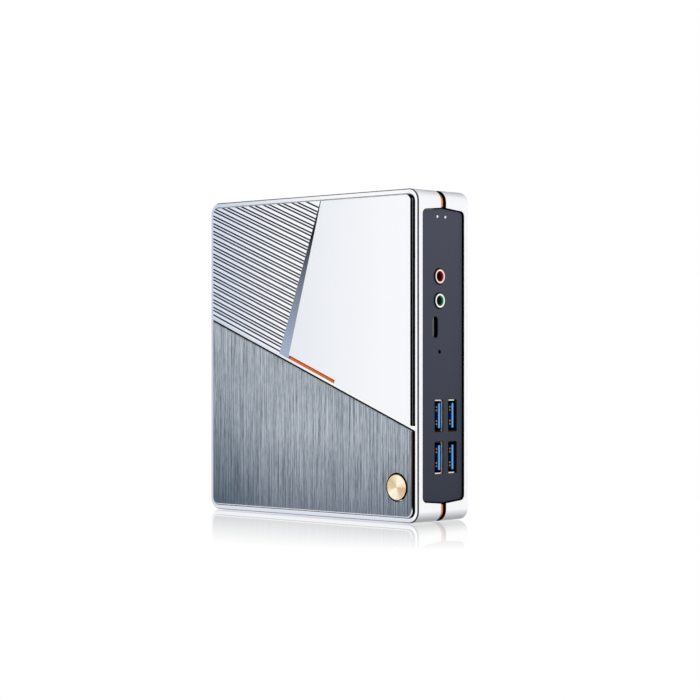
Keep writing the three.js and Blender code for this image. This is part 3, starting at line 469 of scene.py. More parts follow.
class Shader:
    """A Principled material whose patterns are placed by the object's own coordinates."""

    def __init__(self, name, color, metallic=0.0, roughness=0.5, **others):
        self.material = bpy.data.materials.new(name)
        self.material.use_nodes = True
        self.nodes = self.material.node_tree.nodes
        self.links = self.material.node_tree.links
        self.surface = self.nodes["Principled BSDF"]
        uniform = {"Base_Color": (*color, 1), "Metallic": metallic, "Roughness": roughness, **others}
        for socket, value in uniform.items():
            self.surface.inputs[socket.replace("_", " ")].default_value = value
        self.place = self.node("TexCoord", {}).outputs["Object"]

    def node(self, kind, inputs, **settings):
        """A new node, with each input set to a value or fed by another node's output."""
        node = self.nodes.new(f"ShaderNode{kind}")
        for name, value in settings.items():
            setattr(node, name, value)
        for socket, value in inputs.items():
            if isinstance(value, bpy.types.NodeSocket):
                self.links.new(value, node.inputs[socket])
            else:
                node.inputs[socket].default_value = value
        return node

    def mapped(self, stretch=(1, 1, 1), turn=0.0, origin=(0, 0, 0)):
        """Coordinates in millimetres from an origin, turned about Y, then divided by the grain's size."""
        start = [value * MM for value in origin]
        moved = self.node("VectorMath", {0: self.place, 1: start}, operation="SUBTRACT")
        mapping = self.node("Mapping", {"Vector": moved.outputs[0], "Rotation": (0, turn, 0)})
        scale = [1 / (MM * size) for size in stretch]
        return self.node("VectorMath", {0: mapping.outputs[0], 1: scale}, operation="MULTIPLY").outputs[0]

    def noise(self, stretch, detail=3.0, roughness=0.55, **where):
        """Noise whose grains are about as long as stretch, in millimetres along X, Y and Z."""
        vector = self.mapped(stretch, **where)
        inputs = {"Vector": vector, "Scale": 1, "Detail": detail, "Roughness": roughness}
        return self.node("TexNoise", inputs).outputs["Fac"]

    def even_noise(self, size, detail=3.0):
        """Noise whose grains have one size, in millimetres, along all the axes."""
        return self.noise((size, size, size), detail)

    def noise_along(self, value, scale, detail):
        """Noise that only changes with one value, such as a radius or an angle."""
        inputs = {"W": value, "Scale": scale, "Detail": detail}
        return self.node("TexNoise", inputs, noise_dimensions="1D").outputs["Fac"]

    def axes(self, vector):
        """The X, Y and Z of a vector."""
        return self.node("SeparateXYZ", {0: vector}).outputs

    def length(self, vector):
        """The length of a vector, in the vector's own units."""
        return self.node("VectorMath", {0: vector}, operation="LENGTH").outputs["Value"]

    def inside(self, low, high):
        """1 where the surface lies in a box given in millimetres, and 0 elsewhere.

        X counts without its sign, so there is a box on each side of the middle.
        """
        x, y, z = self.axes(self.place)
        mask = 1.0
        for value, least, most in zip((self.math("ABSOLUTE", x), y, z), low, high):
            above = self.math("GREATER_THAN", value, least * MM)
            below = self.math("LESS_THAN", value, most * MM)
            mask = self.math("MULTIPLY", mask, self.math("MULTIPLY", above, below))
        return mask

    def beyond(self, start):
        """1 where the surface lies further along the seam than start, in millimetres, else 0."""
        seam = (math.cos(SEAM_ANGLE), 0, -math.sin(SEAM_ANGLE))
        reached = self.node("VectorMath", {0: self.place, 1: seam}, operation="DOT_PRODUCT")
        level = start - SEAM_HEIGHT * math.sin(SEAM_ANGLE)
        return self.math("GREATER_THAN", reached.outputs["Value"], level * MM)

    def along(self, axis, low, high, start=0.0, end=1.0):
        """A value that goes from start to end between two places on an axis, in millimetres."""
        return self.span(self.axes(self.place)[axis], start, end, low * MM, high * MM)

    def math(self, operation, a, b=0.0):
        return self.node("Math", {0: a, 1: b}, operation=operation).outputs[0]

    def span(self, value, low, high, start=0.3, end=0.7):
        """The value brought from start..end to low..high, and held there."""
        inputs = {"Value": value, "From Min": start, "From Max": end, "To Min": low, "To Max": high}
        return self.node("MapRange", inputs).outputs[0]

    def blend(self, factor, dark, light):
        """A colour between two, either of which may be another pattern's output."""
        dark, light = [(*c, 1) if isinstance(c, tuple) else c for c in (dark, light)]
        return self.node("Mix", {"Factor": factor, 6: dark, 7: light}, data_type="RGBA").outputs[2]

    def tinted(self, base, tint):
        """One colour multiplied by another."""
        inputs = {"Factor": 1, 6: base, 7: tint}
        return self.node("Mix", inputs, data_type="RGBA", blend_type="MULTIPLY").outputs[2]

    def finished(self, color, roughness, height=None, depth=0.0):
        """The material with its colour, its roughness and a bump whose depth is in millimetres."""
        self.links.new(color, self.surface.inputs["Base Color"])
        self.links.new(roughness, self.surface.inputs["Roughness"])
        if height is not None:
            bump = self.node("Bump", {"Height": height, "Strength": 1, "Distance": depth * MM})
            self.links.new(bump.outputs["Normal"], self.surface.inputs["Normal"])
        return self.material

    def lit(self, shader):
        """The material with another shader in place of the Principled one."""
        self.links.new(shader.outputs[0], self.nodes["Material Output"].inputs["Surface"])
        return self.material


def satin_metal():
    """Bead-blasted silver of the shells: a fine grain and faint handling marks.

    The walls inside the openings and in the seam are painted black as shade, and the silver is painted
    darker just above the floor as shade.
    """
    s = Shader("satin_metal", (0.91, 0.92, 0.945), metallic=0.85, roughness=0.3)
    grain = s.even_noise(0.12, 2)
    marks = s.noise((14, 14, 22), 4)
    silver = s.blend(marks, (0.9, 0.91, 0.935), (0.93, 0.94, 0.96))
    # Painted shade: darker just above the floor, where the bottom bend mirrors the ground under the case.
    silver = s.blend(s.along("Z", 1.0, 4.8), (0.3, 0.305, 0.32), silver)
    # Both boxes reach a little past the openings and the seam.
    opening = s.inside((50, -14, 6), (WIDTH / 2 - 0.12, LEDGE_FRONT, 130))
    seam = s.inside((0, FRONT_SHELL_BACK - 0.05, -1), (WIDTH, REAR_SHELL_FRONT + 0.09, HEIGHT + 1))
    # Painted shade: black inside the openings and in the seam.
    color = s.blend(s.math("MAXIMUM", opening, seam), silver, (0.004, 0.004, 0.006))
    roughness = s.math("ADD", s.span(grain, 0.0, 0.06), s.span(marks, 0.26, 0.34))
    return s.finished(color, roughness, grain, 0.004)


def polished_metal():
    """The bright frame: satin in front, with a mirror-bright chamfer cut round its edge.

    The chamfer's colour is a painted reflection: bright, grey-blue underneath and dark along the right side;
    the face is painted bluish towards the left and along the foot as reflection.
    """
    s = Shader("polished_metal", (0.93, 0.94, 0.965), metallic=0.9, roughness=0.16)
    hairlines = s.noise((6, 0.3, 0.05), 2)
    marks = s.even_noise(9, 4)
    bright = s.blend(marks, (0.92, 0.93, 0.955), (0.95, 0.955, 0.975))
    # Painted reflection: bluish grey towards the left and along the foot.
    bright = s.blend(s.along("X", -62, 10), (0.56, 0.62, 0.74), bright)
    face = s.blend(s.along("Z", 1.2, 2.6), (0.7, 0.75, 0.85), bright)
    chamfer = s.along("Y", BEZEL_FRONT + 0.01, BEZEL_FRONT + 0.05)
    # Painted reflection on the chamfer: grey-blue underneath, dark along the right side.
    chamfer_reflection = s.blend(s.along("Z", 0.8, 2.4), (0.24, 0.26, 0.34), bright)
    chamfer_reflection = s.blend(s.along("X", 52, 59), chamfer_reflection, (0.022, 0.02, 0.03))
    satin = s.math("ADD", s.span(hairlines, 0.0, 0.05), s.span(marks, 0.12, 0.18))
    share = s.math("SUBTRACT", 1.0, s.math("MULTIPLY", chamfer, 0.75))
    color = s.blend(chamfer, face, chamfer_reflection)
    return s.finished(color, s.math("MULTIPLY", satin, share), hairlines, 0.0006)


def smooth_plate_metal():
    """The smooth plate, bead blasted very finely, with painted reflection greying it towards the left and
    painted shade blackening its sides.
    """
    s = Shader("smooth_plate_metal", (0.91, 0.92, 0.94), metallic=0.85, roughness=0.22)
    grain = s.even_noise(0.1, 2)
    marks = s.noise((20, 20, 30), 4)
    # Painted reflection: bluish grey towards the left.
    face = s.blend(s.along("X", -14, 44), (0.77, 0.805, 0.86), (0.915, 0.925, 0.955))
    silver = s.blend(s.math("MULTIPLY", marks, 0.2), face, (0.94, 0.95, 0.97))
    side, depth = SMOOTH_RIGHT - SMOOTH_CHAMFER, PANEL_FRONT + SMOOTH_CHAMFER
    # Painted shade: black on the right chamfer and on all the sides.
    walls = s.math("MAXIMUM", s.along("X", side, side + 0.05), s.along("Y", depth + 0.02, depth + 0.06))
    roughness = s.math("ADD", s.span(grain, 0.0, 0.04), s.span(marks, 0.2, 0.24))
    return s.finished(s.blend(walls, silver, BLACK_AND_SHADE), roughness, grain, 0.001)


def ribbed_metal():
    """The ribs: drawn along the seam's direction, with painted shade dark in the grooves.

    The facet beyond the ribs' ends has a painted reflection, grey-blue and darker towards its narrow top.
    """
    s = Shader("ribbed_metal", (0.85, 0.87, 0.9), metallic=0.8, roughness=0.24)
    drawn = s.noise((5, 0.1, 0.08), 3, turn=-SEAM_ANGLE)
    marks = s.even_noise(12, 4)
    silver = s.blend(marks, (0.9, 0.915, 0.95), (0.94, 0.95, 0.975))
    # Painted reflection: bluish grey towards the left.
    ribs = s.blend(s.along("X", -62, -15), (0.64, 0.7, 0.83), silver)
    # Painted shade: dark navy below the ribs' tops, in the grooves.
    below = s.along("Y", PANEL_FRONT + 0.01, PANEL_FRONT + 0.06)
    grooved = s.blend(below, ribs, (0.012, 0.016, 0.05))
    # Painted reflection on the facet: grey-blue, nearly black towards its top.
    facet = s.blend(s.along("Z", 70, 119), (0.36, 0.43, 0.56), (0.006, 0.008, 0.012))
    color = s.blend(s.beyond(FACET_START + 0.05), grooved, facet)
    roughness = s.math("ADD", s.span(drawn, 0.0, 0.08), s.span(marks, 0.2, 0.26))
    return s.finished(color, roughness, drawn, 0.002)


def brushed_metal():
    """Dark plate brushed along its height, with painted light and shade: darker at the foot and most at the
    left corner.

    The chamfer has a painted reflection, bright underneath and dark red down the right side, and the walls
    beyond it are painted black as shade.
    """
    s = Shader("brushed_metal", (0.3, 0.34, 0.4), metallic=0.85, roughness=0.34)
    fine = s.noise((0.46, 1, 28), 2, roughness=0.7)
    long = s.noise((0.6, 1, 60), 2, roughness=0.6)
    short = s.noise((0.5, 1, 4), 2, roughness=0.6)
    streaks = s.math("ADD", s.math("MULTIPLY", fine, 0.5), s.math("MULTIPLY", short, 0.22))
    streaks = s.math("ADD", streaks, s.math("MULTIPLY", long, 0.28))
    base = s.blend(s.span(streaks, 0, 1, 0.4, 0.6), (0.1, 0.125, 0.155), (0.44, 0.48, 0.53))
    tones = s.blend(s.noise((0.6, 1, 7), 2), (0.9, 1.0, 1.06), (1.1, 0.99, 0.98))
    # Painted light and shade: lighter up the plate, darker at its foot.
    height = s.blend(s.along("Z", 4, 36), (0.65, 0.69, 0.725), (1.27, 1.27, 1.235))
    # Painted shade: darker towards the bottom left corner.
    from_corner = s.length(s.mapped((0.62, 1e6, 1), origin=(-WIDTH / 2, 0, 0)))
    corner = s.blend(s.span(from_corner, 0, 1, 18, 78), (0.49, 0.55, 0.6), (1, 1, 1))
    face = s.tinted(s.tinted(s.tinted(base, tones), height), corner)
    # Painted reflection: the chamfer is bright underneath.
    chamfer = s.math("MULTIPLY", s.along("Y", PANEL_FRONT + 0.01, PANEL_FRONT + 0.05), s.along("Z", 7, 5))
    side, depth = BRUSHED_RIGHT - PANEL_CHAMFER, PANEL_FRONT + PANEL_CHAMFER
    # Painted reflection: black to dark red down the chamfer on the right side.
    edge = s.math("MULTIPLY", s.along("X", side, side + 0.06), s.along("Z", 5, 7))
    edge_reflection = s.blend(s.along("Z", 10, 42), (0.012, 0.006, 0.005), (0.13, 0.022, 0.014))
    metal = s.blend(edge, s.blend(chamfer, face, (0.8, 0.81, 0.84)), edge_reflection)
    # Painted shade: black on the walls beyond the chamfer.
    color = s.blend(s.along("Y", depth, depth + 0.05), metal, BLACK_AND_SHADE)
    return s.finished(color, s.span(streaks, 0.28, 0.46), streaks, 0.008)


def satin_orange(name, color, highlight):
    """Satin orange paint, with painted shade darkening it where it turns over the case's top and bottom."""
    s = Shader(name, color, roughness=0.42, Specular_IOR_Level=0.2)
    grain = s.even_noise(0.1, 2)
    paint = s.blend(s.even_noise(3), color, highlight)
    # Painted shade: nearly black where the strip bends over the top and bottom.
    turned_over = s.math("MAXIMUM", s.along("Z", HEIGHT - 3.6, HEIGHT - 1.6), s.along("Z", 3.6, 1.6))
    color = s.blend(turned_over, paint, (0.02, 0.004, 0.003))
    return s.finished(color, s.span(grain, 0.36, 0.5), grain, 0.003)


def spun_gold():
    """The power button: turned rings under a painted highlight of two bright lobes like spun metal's, an
    orange rim, and painted shade on its sides.
    """
    s = Shader("spun_gold", (0.9, 0.72, 0.45), metallic=0.9, roughness=0.26)
    flat = s.mapped((1, 1e6, 1), origin=(BUTTON["x"], 0, BUTTON["z"]))
    radius = s.length(flat)
    across, _, up = s.axes(flat)
    angle = s.math("ARCTAN2", up, across)
    rings = s.noise_along(radius, 9, 3)
    wedges = s.noise_along(angle, 1.4, 5)
    # Painted highlight: two bright lobes across the cap, with khaki and brown between them.
    lobes = s.math("COSINE", s.math("MULTIPLY", s.math("SUBTRACT", angle, math.radians(62)), 2))
    shine = s.math("ADD", s.span(lobes, 0.0, 0.85, -0.75, 0.75), s.span(wedges, -0.2, 0.35))
    khaki = s.blend(s.span(across, 0, 1, -1.5, 1.5), (0.62, 0.5, 0.24), (0.6, 0.38, 0.22))
    pale = s.blend(rings, (0.97, 0.87, 0.66), (1.0, 0.96, 0.84))
    cap = s.blend(shine, s.blend(rings, khaki, (0.76, 0.58, 0.36)), pale)
    # The rim's rounding is more orange, varied with the wedges.
    rim_orange = s.blend(s.span(wedges, 0, 1, 0.35, 0.6), (0.9, 0.52, 0.2), (1.0, 0.86, 0.55))
    edge = BUTTON["radius"]
    face = s.blend(s.span(radius, 0.0, 1.0, edge - 0.4, edge - 0.3), cap, rim_orange)
    # Painted shade: the cap's sides are nearly black.
    outer = s.span(radius, 0.0, 1.0, edge - 0.12, edge - 0.06)
    sides = s.math("MULTIPLY", outer, s.along("Y", BUTTON_FRONT + 0.12, BUTTON_FRONT + 0.24))
    return s.finished(s.blend(sides, face, (0.03, 0.012, 0.006)), s.span(rings, 0.2, 0.34), rings, 0.006)


def moulded_plastic(name, color, roughness=0.5, depth=0.01, spread=0.12, specular=0.5):
    """Moulded plastic with a fine spark-eroded grain and a slightly uneven tone."""
    s = Shader(name, color, roughness=roughness, Specular_IOR_Level=specular)
    grain = s.even_noise(0.25)
    dark = tuple(c * (1 - spread) for c in color)
    light = tuple(min(c * (1 + spread), 1) for c in color)
    tone = s.blend(s.even_noise(7), dark, light)
    return s.finished(tone, s.span(grain, roughness - 0.08, roughness + 0.1), grain, depth)


def plated_metal(name, color, roughness=0.25):
    """Sheet metal that was stamped and plated: cloudy, with short scratches."""
    s = Shader(name, color, metallic=1.0, roughness=roughness)
    cloud = s.even_noise(1.6, 4)
    scratch = s.noise((0.08, 0.9, 1.4), 2)
    clouded = s.blend(cloud, tuple(c * 0.86 for c in color), color)
    uneven = s.span(cloud, roughness - 0.06, roughness + 0.06)
    return s.finished(clouded, s.math("ADD", s.span(scratch, 0.0, 0.1), uneven), scratch, 0.002)


def rubber():
    """Black rubber with a coarse grain and a little dust."""
    s = Shader("rubber", (0.018, 0.018, 0.02), roughness=0.8)
    grain = s.even_noise(0.2, 4)
    dust = s.span(s.even_noise(2.5, 4), 0, 1, 0.4, 0.8)
    color = s.blend(dust, (0.013, 0.013, 0.014), (0.04, 0.039, 0.037))
    return s.finished(color, s.span(grain, 0.7, 0.92), grain, 0.02)


def circuit_board():
    """Green solder mask with copper tracks showing through it."""
    s = Shader("circuit_board", (0.02, 0.12, 0.06), roughness=0.35)
    across, _, up = s.axes(s.mapped())
    face = s.node("CombineXYZ", {"X": across, "Y": up}).outputs[0]
    bricks = {"Vector": face, "Scale": 1, "Mortar Size": 0.09, "Brick Width": 3.2, "Row Height": 0.9}
    tracks = s.node("TexBrick", bricks).outputs["Fac"]
    blotch = s.even_noise(9)
    mask = s.blend(blotch, (0.012, 0.075, 0.038), (0.025, 0.125, 0.065))
    return s.finished(s.blend(tracks, mask, (0.07, 0.24, 0.12)), s.span(blotch, 0.28, 0.42), tracks, 0.02)


def port_plastic():
    """Matt dark grey of the port sides, with painted light making it lighter towards the top and painted
    shade black within.
    """
    s = Shader("port_grey", (0.03, 0.038, 0.06), roughness=0.52, Specular_IOR_Level=0.25)
    grain = s.even_noise(0.25)
    # Painted light: lighter towards the top.
    face = s.blend(s.along("Z", 5, 130), (0.014, 0.019, 0.036), (0.046, 0.052, 0.078))
    uneven = s.blend(s.math("MULTIPLY", s.even_noise(7), 0.05), face, (0.08, 0.09, 0.12))
    # Painted shade: black on every surface behind the outer face, such as the holes' walls.
    within = s.inside((0, -20, -1), (PORT_FACE - 0.12, 12.5, HEIGHT + 1))
    color = s.blend(within, uneven, (0.002, 0.002, 0.003))
    return s.finished(color, s.span(grain, 0.44, 0.62), grain, 0.012)


def jack_plastic(name, z, lip, wall, bore):
    """An audio socket's plastic: a lip painted pale as a highlight, an outside painted black as shadow, a
    coloured wall and a bore painted dark as shade.
    """
    s = Shader(name, wall, roughness=0.35)
    grain = s.even_noise(0.2)
    outer = s.blend(grain, tuple(0.85 * c for c in wall), wall)
    radius = s.length(s.mapped((1e6, 1, 1), origin=(0, JACK_Y, z)))
    # Painted shadow: black on the sleeve's outside.
    outside = s.span(radius, 0.0, 1.0, JACK_RADIUS - 0.2, JACK_RADIUS - 0.08)
    # Painted highlight: the pale lip round the mouth.
    front = s.along("X", JACK_FRONT - 0.34, JACK_FRONT - 0.16)
    body = s.blend(outside, s.blend(front, outer, lip), (0.012, 0.006, 0.008))
    # Painted shade: dark down the bore.
    color = s.blend(s.along("X", JACK_FRONT - 0.5, JACK_FRONT - 1.6), body, bore)
    return s.finished(color, s.span(grain, 0.28, 0.44), grain, 0.003)


def can_metal():
    """Dull steel of the USB cans, with painted shade black further in and on the far wall of the left
    column.
    """
    s = Shader("can_metal", (0.4, 0.4, 0.4), metallic=0.9, roughness=0.4)
    cloud = s.even_noise(1.2, 4)
    bare = s.blend(cloud, (0.6, 0.59, 0.57), (0.8, 0.78, 0.75))
    wall = USB_COLUMNS[0] + USB_MOUTH["width"] / 2
    # Painted shade: black on the left column's far wall.
    far_wall = s.inside((0, wall - 1, 0), (WIDTH, wall - 0.26, HEIGHT))
    bare = s.blend(far_wall, (0.012, 0.012, 0.014), bare)
    # Painted shade: black further into the cans.
    inward = s.along("X", USB_MOUTH["front"] - 0.35, USB_MOUTH["front"] - 1.15)
    return s.finished(s.blend(inward, bare, (0.003, 0.003, 0.003)), s.span(cloud, 0.34, 0.5), cloud, 0.003)


def usb_c_metal():
    """The small can's steel: a painted highlight along its outer edge, and painted shade black elsewhere."""
    s = Shader("usb_c_metal", (0.3, 0.3, 0.3), metallic=0.8, roughness=0.35)
    cloud = s.even_noise(0.8)
    bright = s.blend(cloud, (0.34, 0.32, 0.29), (0.5, 0.47, 0.42))
    # Painted highlight on the outer edge near the face, painted shade everywhere else.
    outer = s.along("Y", USB_C["y"] - 1.1, USB_C["y"] - 1.4)
    front = s.along("X", PORT_FACE - 0.4, PORT_FACE - 0.2)
    color = s.blend(s.math("MULTIPLY", outer, front), (0.006, 0.006, 0.007), bright)
    return s.finished(color, s.span(cloud, 0.3, 0.45), cloud, 0.003)


def tongue_plastic():
    """Blue of the USB tongues: bright at the front end, with painted shade nearly black further in."""
    s = Shader("tongue_plastic", (0.05, 0.38, 0.9), roughness=0.4)
    grain = s.even_noise(0.3)
    bright = s.blend(grain, (0.06, 0.36, 0.86), (0.09, 0.45, 0.95))
    mouth = USB_MOUTH["front"]
    # Painted shade: darker further into the socket.
    sides = s.blend(s.along("X", mouth - 2.2, mouth - 0.7), (0.002, 0.006, 0.06), (0.008, 0.05, 0.3))
    color = s.blend(s.along("X", mouth - 0.62, mouth - 0.45), sides, bright)
    return s.finished(color, s.span(grain, 0.34, 0.48), grain, 0.004)


def light_guide():
    """Hazy clear plastic that glows a little."""
    glow = {"Emission_Strength": 0.25, "Emission_Color": (0.9, 0.95, 1.0, 1)}
    s = Shader("light_guide", (0.6, 0.62, 0.66), roughness=0.25, **glow)
    haze = s.even_noise(0.5)
    return s.finished(s.blend(haze, (0.5, 0.52, 0.56), (0.68, 0.7, 0.74)), s.span(haze, 0.18, 0.34))


SATIN = satin_metal()
POLISHED = polished_metal()
SMOOTH_PLATE = smooth_plate_metal()
RIBBED = ribbed_metal()
BRUSHED = brushed_metal()
ORANGE = satin_orange("satin_orange", (0.68, 0.11, 0.003), (0.76, 0.14, 0.006))
# A lit copy of the same orange as painted light: brighter and yellower in the seam than on the face.
SEAM_ORANGE = satin_orange("seam_orange", (0.86, 0.2, 0.012), (0.92, 0.26, 0.02))
GOLD = spun_gold()
BLACK = moulded_plastic("black_plastic", (0.012, 0.012, 0.014), 0.45)
MATT_BLACK = moulded_plastic("matt_black_plastic", BLACK_AND_SHADE, 0.6, specular=0.08)
PORT_GREY = port_plastic()
COVER_GREY = moulded_plastic("cover_grey", (0.03, 0.035, 0.047), 0.55, depth=0.015, spread=0.08)
TONGUE_BLUE = tongue_plastic()
# Each lip is painted pale as a highlight, and each bore dark as shade.
PINK = jack_plastic("pink_plastic", JACKS["mic"],
                    lip=(1.0, 0.76, 0.7), wall=(0.6, 0.06, 0.05), bore=(0.07, 0.005, 0.005))
GREEN = jack_plastic("green_plastic", JACKS["headphone"],
                     lip=(1.0, 1.0, 1.0), wall=(0.09, 0.45, 0.24), bore=(0.006, 0.06, 0.024))
CAN = can_metal()
USB_C_METAL = usb_c_metal()
STEEL = plated_metal("plated_steel", (0.72, 0.73, 0.75))
LIP = plated_metal("lip_steel", (0.78, 0.75, 0.68))
CHANNEL_METAL = plated_metal("channel_metal", (0.26, 0.26, 0.29), 0.3)
CONTACT_GOLD = plated_metal("contact_gold", (0.85, 0.42, 0.08), 0.3)
COPPER = plated_metal("copper", (0.8, 0.42, 0.25), 0.3)
FINS = plated_metal("fin_aluminium", (0.78, 0.79, 0.8), 0.35)
RUBBER = rubber()
BOARD = circuit_board()
GUIDE = light_guide()

# ------------------------------------------------------------------ decorated face


def beside_seam(x, distance):
    """Height of the line that runs beside the seam at a distance above it."""
    return SEAM_HEIGHT + distance / math.cos(SEAM_ANGLE) - x * math.tan(SEAM_ANGLE)


def edge_on_seam(distance, shift=0.0):
    """Where the smooth plate's left edge meets that line."""
    x, z, lean = SMOOTH_EDGE["x"], SMOOTH_EDGE["z"], SMOOTH_EDGE["lean"]
    rise = beside_seam(0, distance) - z
    place = (x + shift + rise * lean) / (1 + math.tan(SEAM_ANGLE) * lean)
    return place, beside_seam(place, distance)


def edge_on_top(shift=0.0):
    """Where the smooth plate's left edge meets the plates' top."""
    rise = PANEL["top"] - SMOOTH_EDGE["z"]
    return SMOOTH_EDGE["x"] + shift + rise * SMOOTH_EDGE["lean"], PANEL["top"]


def on_seam(s, t):
    """The X and Z of a point given along and above the seam."""
    x, _, z = along_seam(s, t, 0)
    return x, z


def face_frame():
    """The bright rim round the plates, and the bar that crosses it along the seam."""
    w = WINDOW
    rim_back = BEZEL_FRONT + 0.45
    window = rectangle(w["left"], w["bottom"], w["right"], w["top"], w["radius"])
    seat_step = [(rim_back, 0), (rim_back, 0.9), (CARRIER_BACK, 0.9)]
    outer = [(BEZEL_FRONT, BEZEL_CHAMFER), (BEZEL_FRONT + BEZEL_CHAMFER, 0)] + seat_step
    inner = [(BEZEL_FRONT, 0.08), (BEZEL_FRONT + 0.08, 0), (CARRIER_BACK, 0)]
    rim = solid([(case_outline(), outer), (window, inner)], on_face)
    left, right = w["left"] - 0.25, w["right"] + 0.25
    high = PANEL_LOW - 0.03
    shelf = beside_seam(PANEL["right"], high)
    corners = [(left, beside_seam(left, BAR_LOW), 0), (right, beside_seam(right, BAR_LOW), 0),
               (right, shelf, 0), (PANEL["right"], shelf, 0), (left, beside_seam(left, high), 0)]
    crossbar = solid([(outline(corners), rounded(BAR_FRONT, PANEL_BACK, 0.05, 0.05, 2))], on_face)
    whole = combined(rim, crossbar, "UNION")
    add_piece("bright_frame", whole, POLISHED, ["face_frame"])


def brushed_plate():
    """The brushed plate under the seam, with the button's hole."""
    p = PANEL
    right = BRUSHED_RIGHT
    corners = [
        (p["left"], p["bottom"], p["radius"]),
        (right, p["bottom"], p["radius"]),
        (right, beside_seam(right, SEAM_LOW), 0.25),
        (p["left"], beside_seam(p["left"], SEAM_LOW), 0.25),
    ]
    hole = circle(BUTTON["x"], BUTTON["z"], BUTTON["radius"] + BUTTON["gap"], 96)
    plate = solid([
        (outline(corners), chamfered(PANEL_FRONT, PANEL_BACK, PANEL_CHAMFER)),
        (hole, chamfered(PANEL_FRONT, PANEL_BACK, 0.15)),
    ], on_face)
    add_piece("brushed_plate", plate, BRUSHED, ["brushed_panel"])


def smooth_plate():
    """The smooth plate above the seam, notched for the orange strip."""
    p = PANEL
    notch_high = INLAY["high"] + CLEARANCE
    notch_end = INLAY["end"] + CLEARANCE
    corners = [
        (*edge_on_seam(notch_high), 0.15),
        (*on_seam(notch_end, notch_high), 0.1),
        (*on_seam(notch_end, PANEL_LOW), 0.1),
        (SMOOTH_RIGHT, beside_seam(SMOOTH_RIGHT, PANEL_LOW), 0.2),
        (SMOOTH_RIGHT, p["top"], p["radius"]),
        (*edge_on_top(), 0.2),
    ]
    plate = solid([(outline(corners), chamfered(PANEL_FRONT, PANEL_BACK, SMOOTH_CHAMFER))], on_face)
    add_piece("smooth_plate", plate, SMOOTH_PLATE, ["smooth_panel"])


def channel_line():
    """The bare ridge that shows along the dark channel beside the smooth plate."""
    left, right = CHANNEL_LINE
    foot = beside_seam(right, PANEL_LOW) + CLEARANCE
    ridge = block((left, PANEL_BACK - 0.4, foot), (right, LIP_FRONT + 0.1, PANEL["top"] - 1.6), 0.05)
    add_piece("channel_line", ridge, CHANNEL_METAL)


def inlay():
    """The orange strip that lies in the smooth plate's foot."""
    i = INLAY
    strip = solid([(rectangle(i["start"], i["low"], i["end"], i["high"], 0.1, 3),
                    rounded(PANEL_FRONT, PANEL_BACK, 0.12, 0.05))], along_seam)
    add_piece("orange_strip", strip, ORANGE, ["orange_inlay"])


def groove(middle):
    """The tool for one groove, at its height above the seam.

    It ends just past the facet's start: edges that fall together upset the cut.
    """
    half = GROOVE_WIDTH / 2
    right = [
        (half + GROOVE_LIP, -0.2, 0),
        (half + GROOVE_LIP, 0, 0),
        (half, GROOVE_LIP, 0),
        (half, GROOVE_DEPTH, 0.12),
    ]
    left = [(-across, depth, radius) for across, depth, radius in reversed(right)]
    section = [(middle + across, PANEL_FRONT + depth, radius) for across, depth, radius in right + left]
    return solid([(outline(section, 3), [(-90, 0), (FACET_START + 0.03, 0)])], through_seam)


def ribbed_plate():
    """The ribbed field, and the facet that slopes down from the ribs' ends."""
    p = PANEL
    corners = [
        (p["left"], beside_seam(p["left"], PANEL_LOW), 0.2),
        (*edge_on_seam(PANEL_LOW, -CLEARANCE), 0),
        (*edge_on_top(-CLEARANCE), 0),
        (p["left"], p["top"], p["radius"]),
    ]
    plate = solid([(outline(corners), rounded(PANEL_FRONT, PANEL_BACK, 0.1, 0.05, 2))], on_face)
    reach = 30
    wedge = [
        (FACET_START, PANEL_FRONT, 0),
        (FACET_START, PANEL_FRONT - 1, 0),
        (FACET_START + reach, PANEL_FRONT - 1, 0),
        (FACET_START + reach, PANEL_FRONT + reach * FACET_SLOPE, 0),
    ]
    plate = cut(plate, solid([(outline(wedge), [(-20, 0), (120, 0)])], across_seam))
    middles = [GROOVE_FIRST + pair * GROOVE_PITCH + step
               for pair in range(GROOVE_PAIRS) for step in (0, GROOVE_PAIR)]
    plate = cut(plate, joined([groove(middle) for middle in middles]))
    add_piece("ribbed_plate", plate, RIBBED, ["ribbed_panel"])


def power_button():
    """The button's cap with a shallow dish, and the stem that reaches through the tray."""
    radius = BUTTON["radius"]
    dish_radius = radius - 0.45
    dish = [(dish_radius * k / 12, BUTTON_FRONT + 0.22 * (1 - (k / 12) ** 2)) for k in range(13)]
    rim = [(radius - 0.3, BUTTON_FRONT), (radius - 0.08, BUTTON_FRONT + 0.08), (radius, BUTTON_FRONT + 0.3)]
    neck, plunger, under, end, tip = 2.5, 3.4, -15.4, -13.3, -12.5
    stem = [(radius, under - 0.1), (radius - 0.1, under), (neck, under), (neck, end), (plunger, end),
            (plunger, tip), (0, tip)]
    cap = turned(dish + rim + stem, BUTTON["x"], BUTTON["z"], on_face, 96)
    add_piece("button_cap", cap, GOLD, ["power_button"], "power_button")


# ------------------------------------------------------------------ shells


def side_cutters():
    """The two port openings as one tool."""
    sides = [(WIDTH / 2 - 2 * WALL, WIDTH / 2 + 1), (-WIDTH / 2 - 1, -WIDTH / 2 + 2 * WALL)]
    return joined([solid([(opening_outline(), [(a, 0), (b, 0)])], on_side) for a, b in sides])


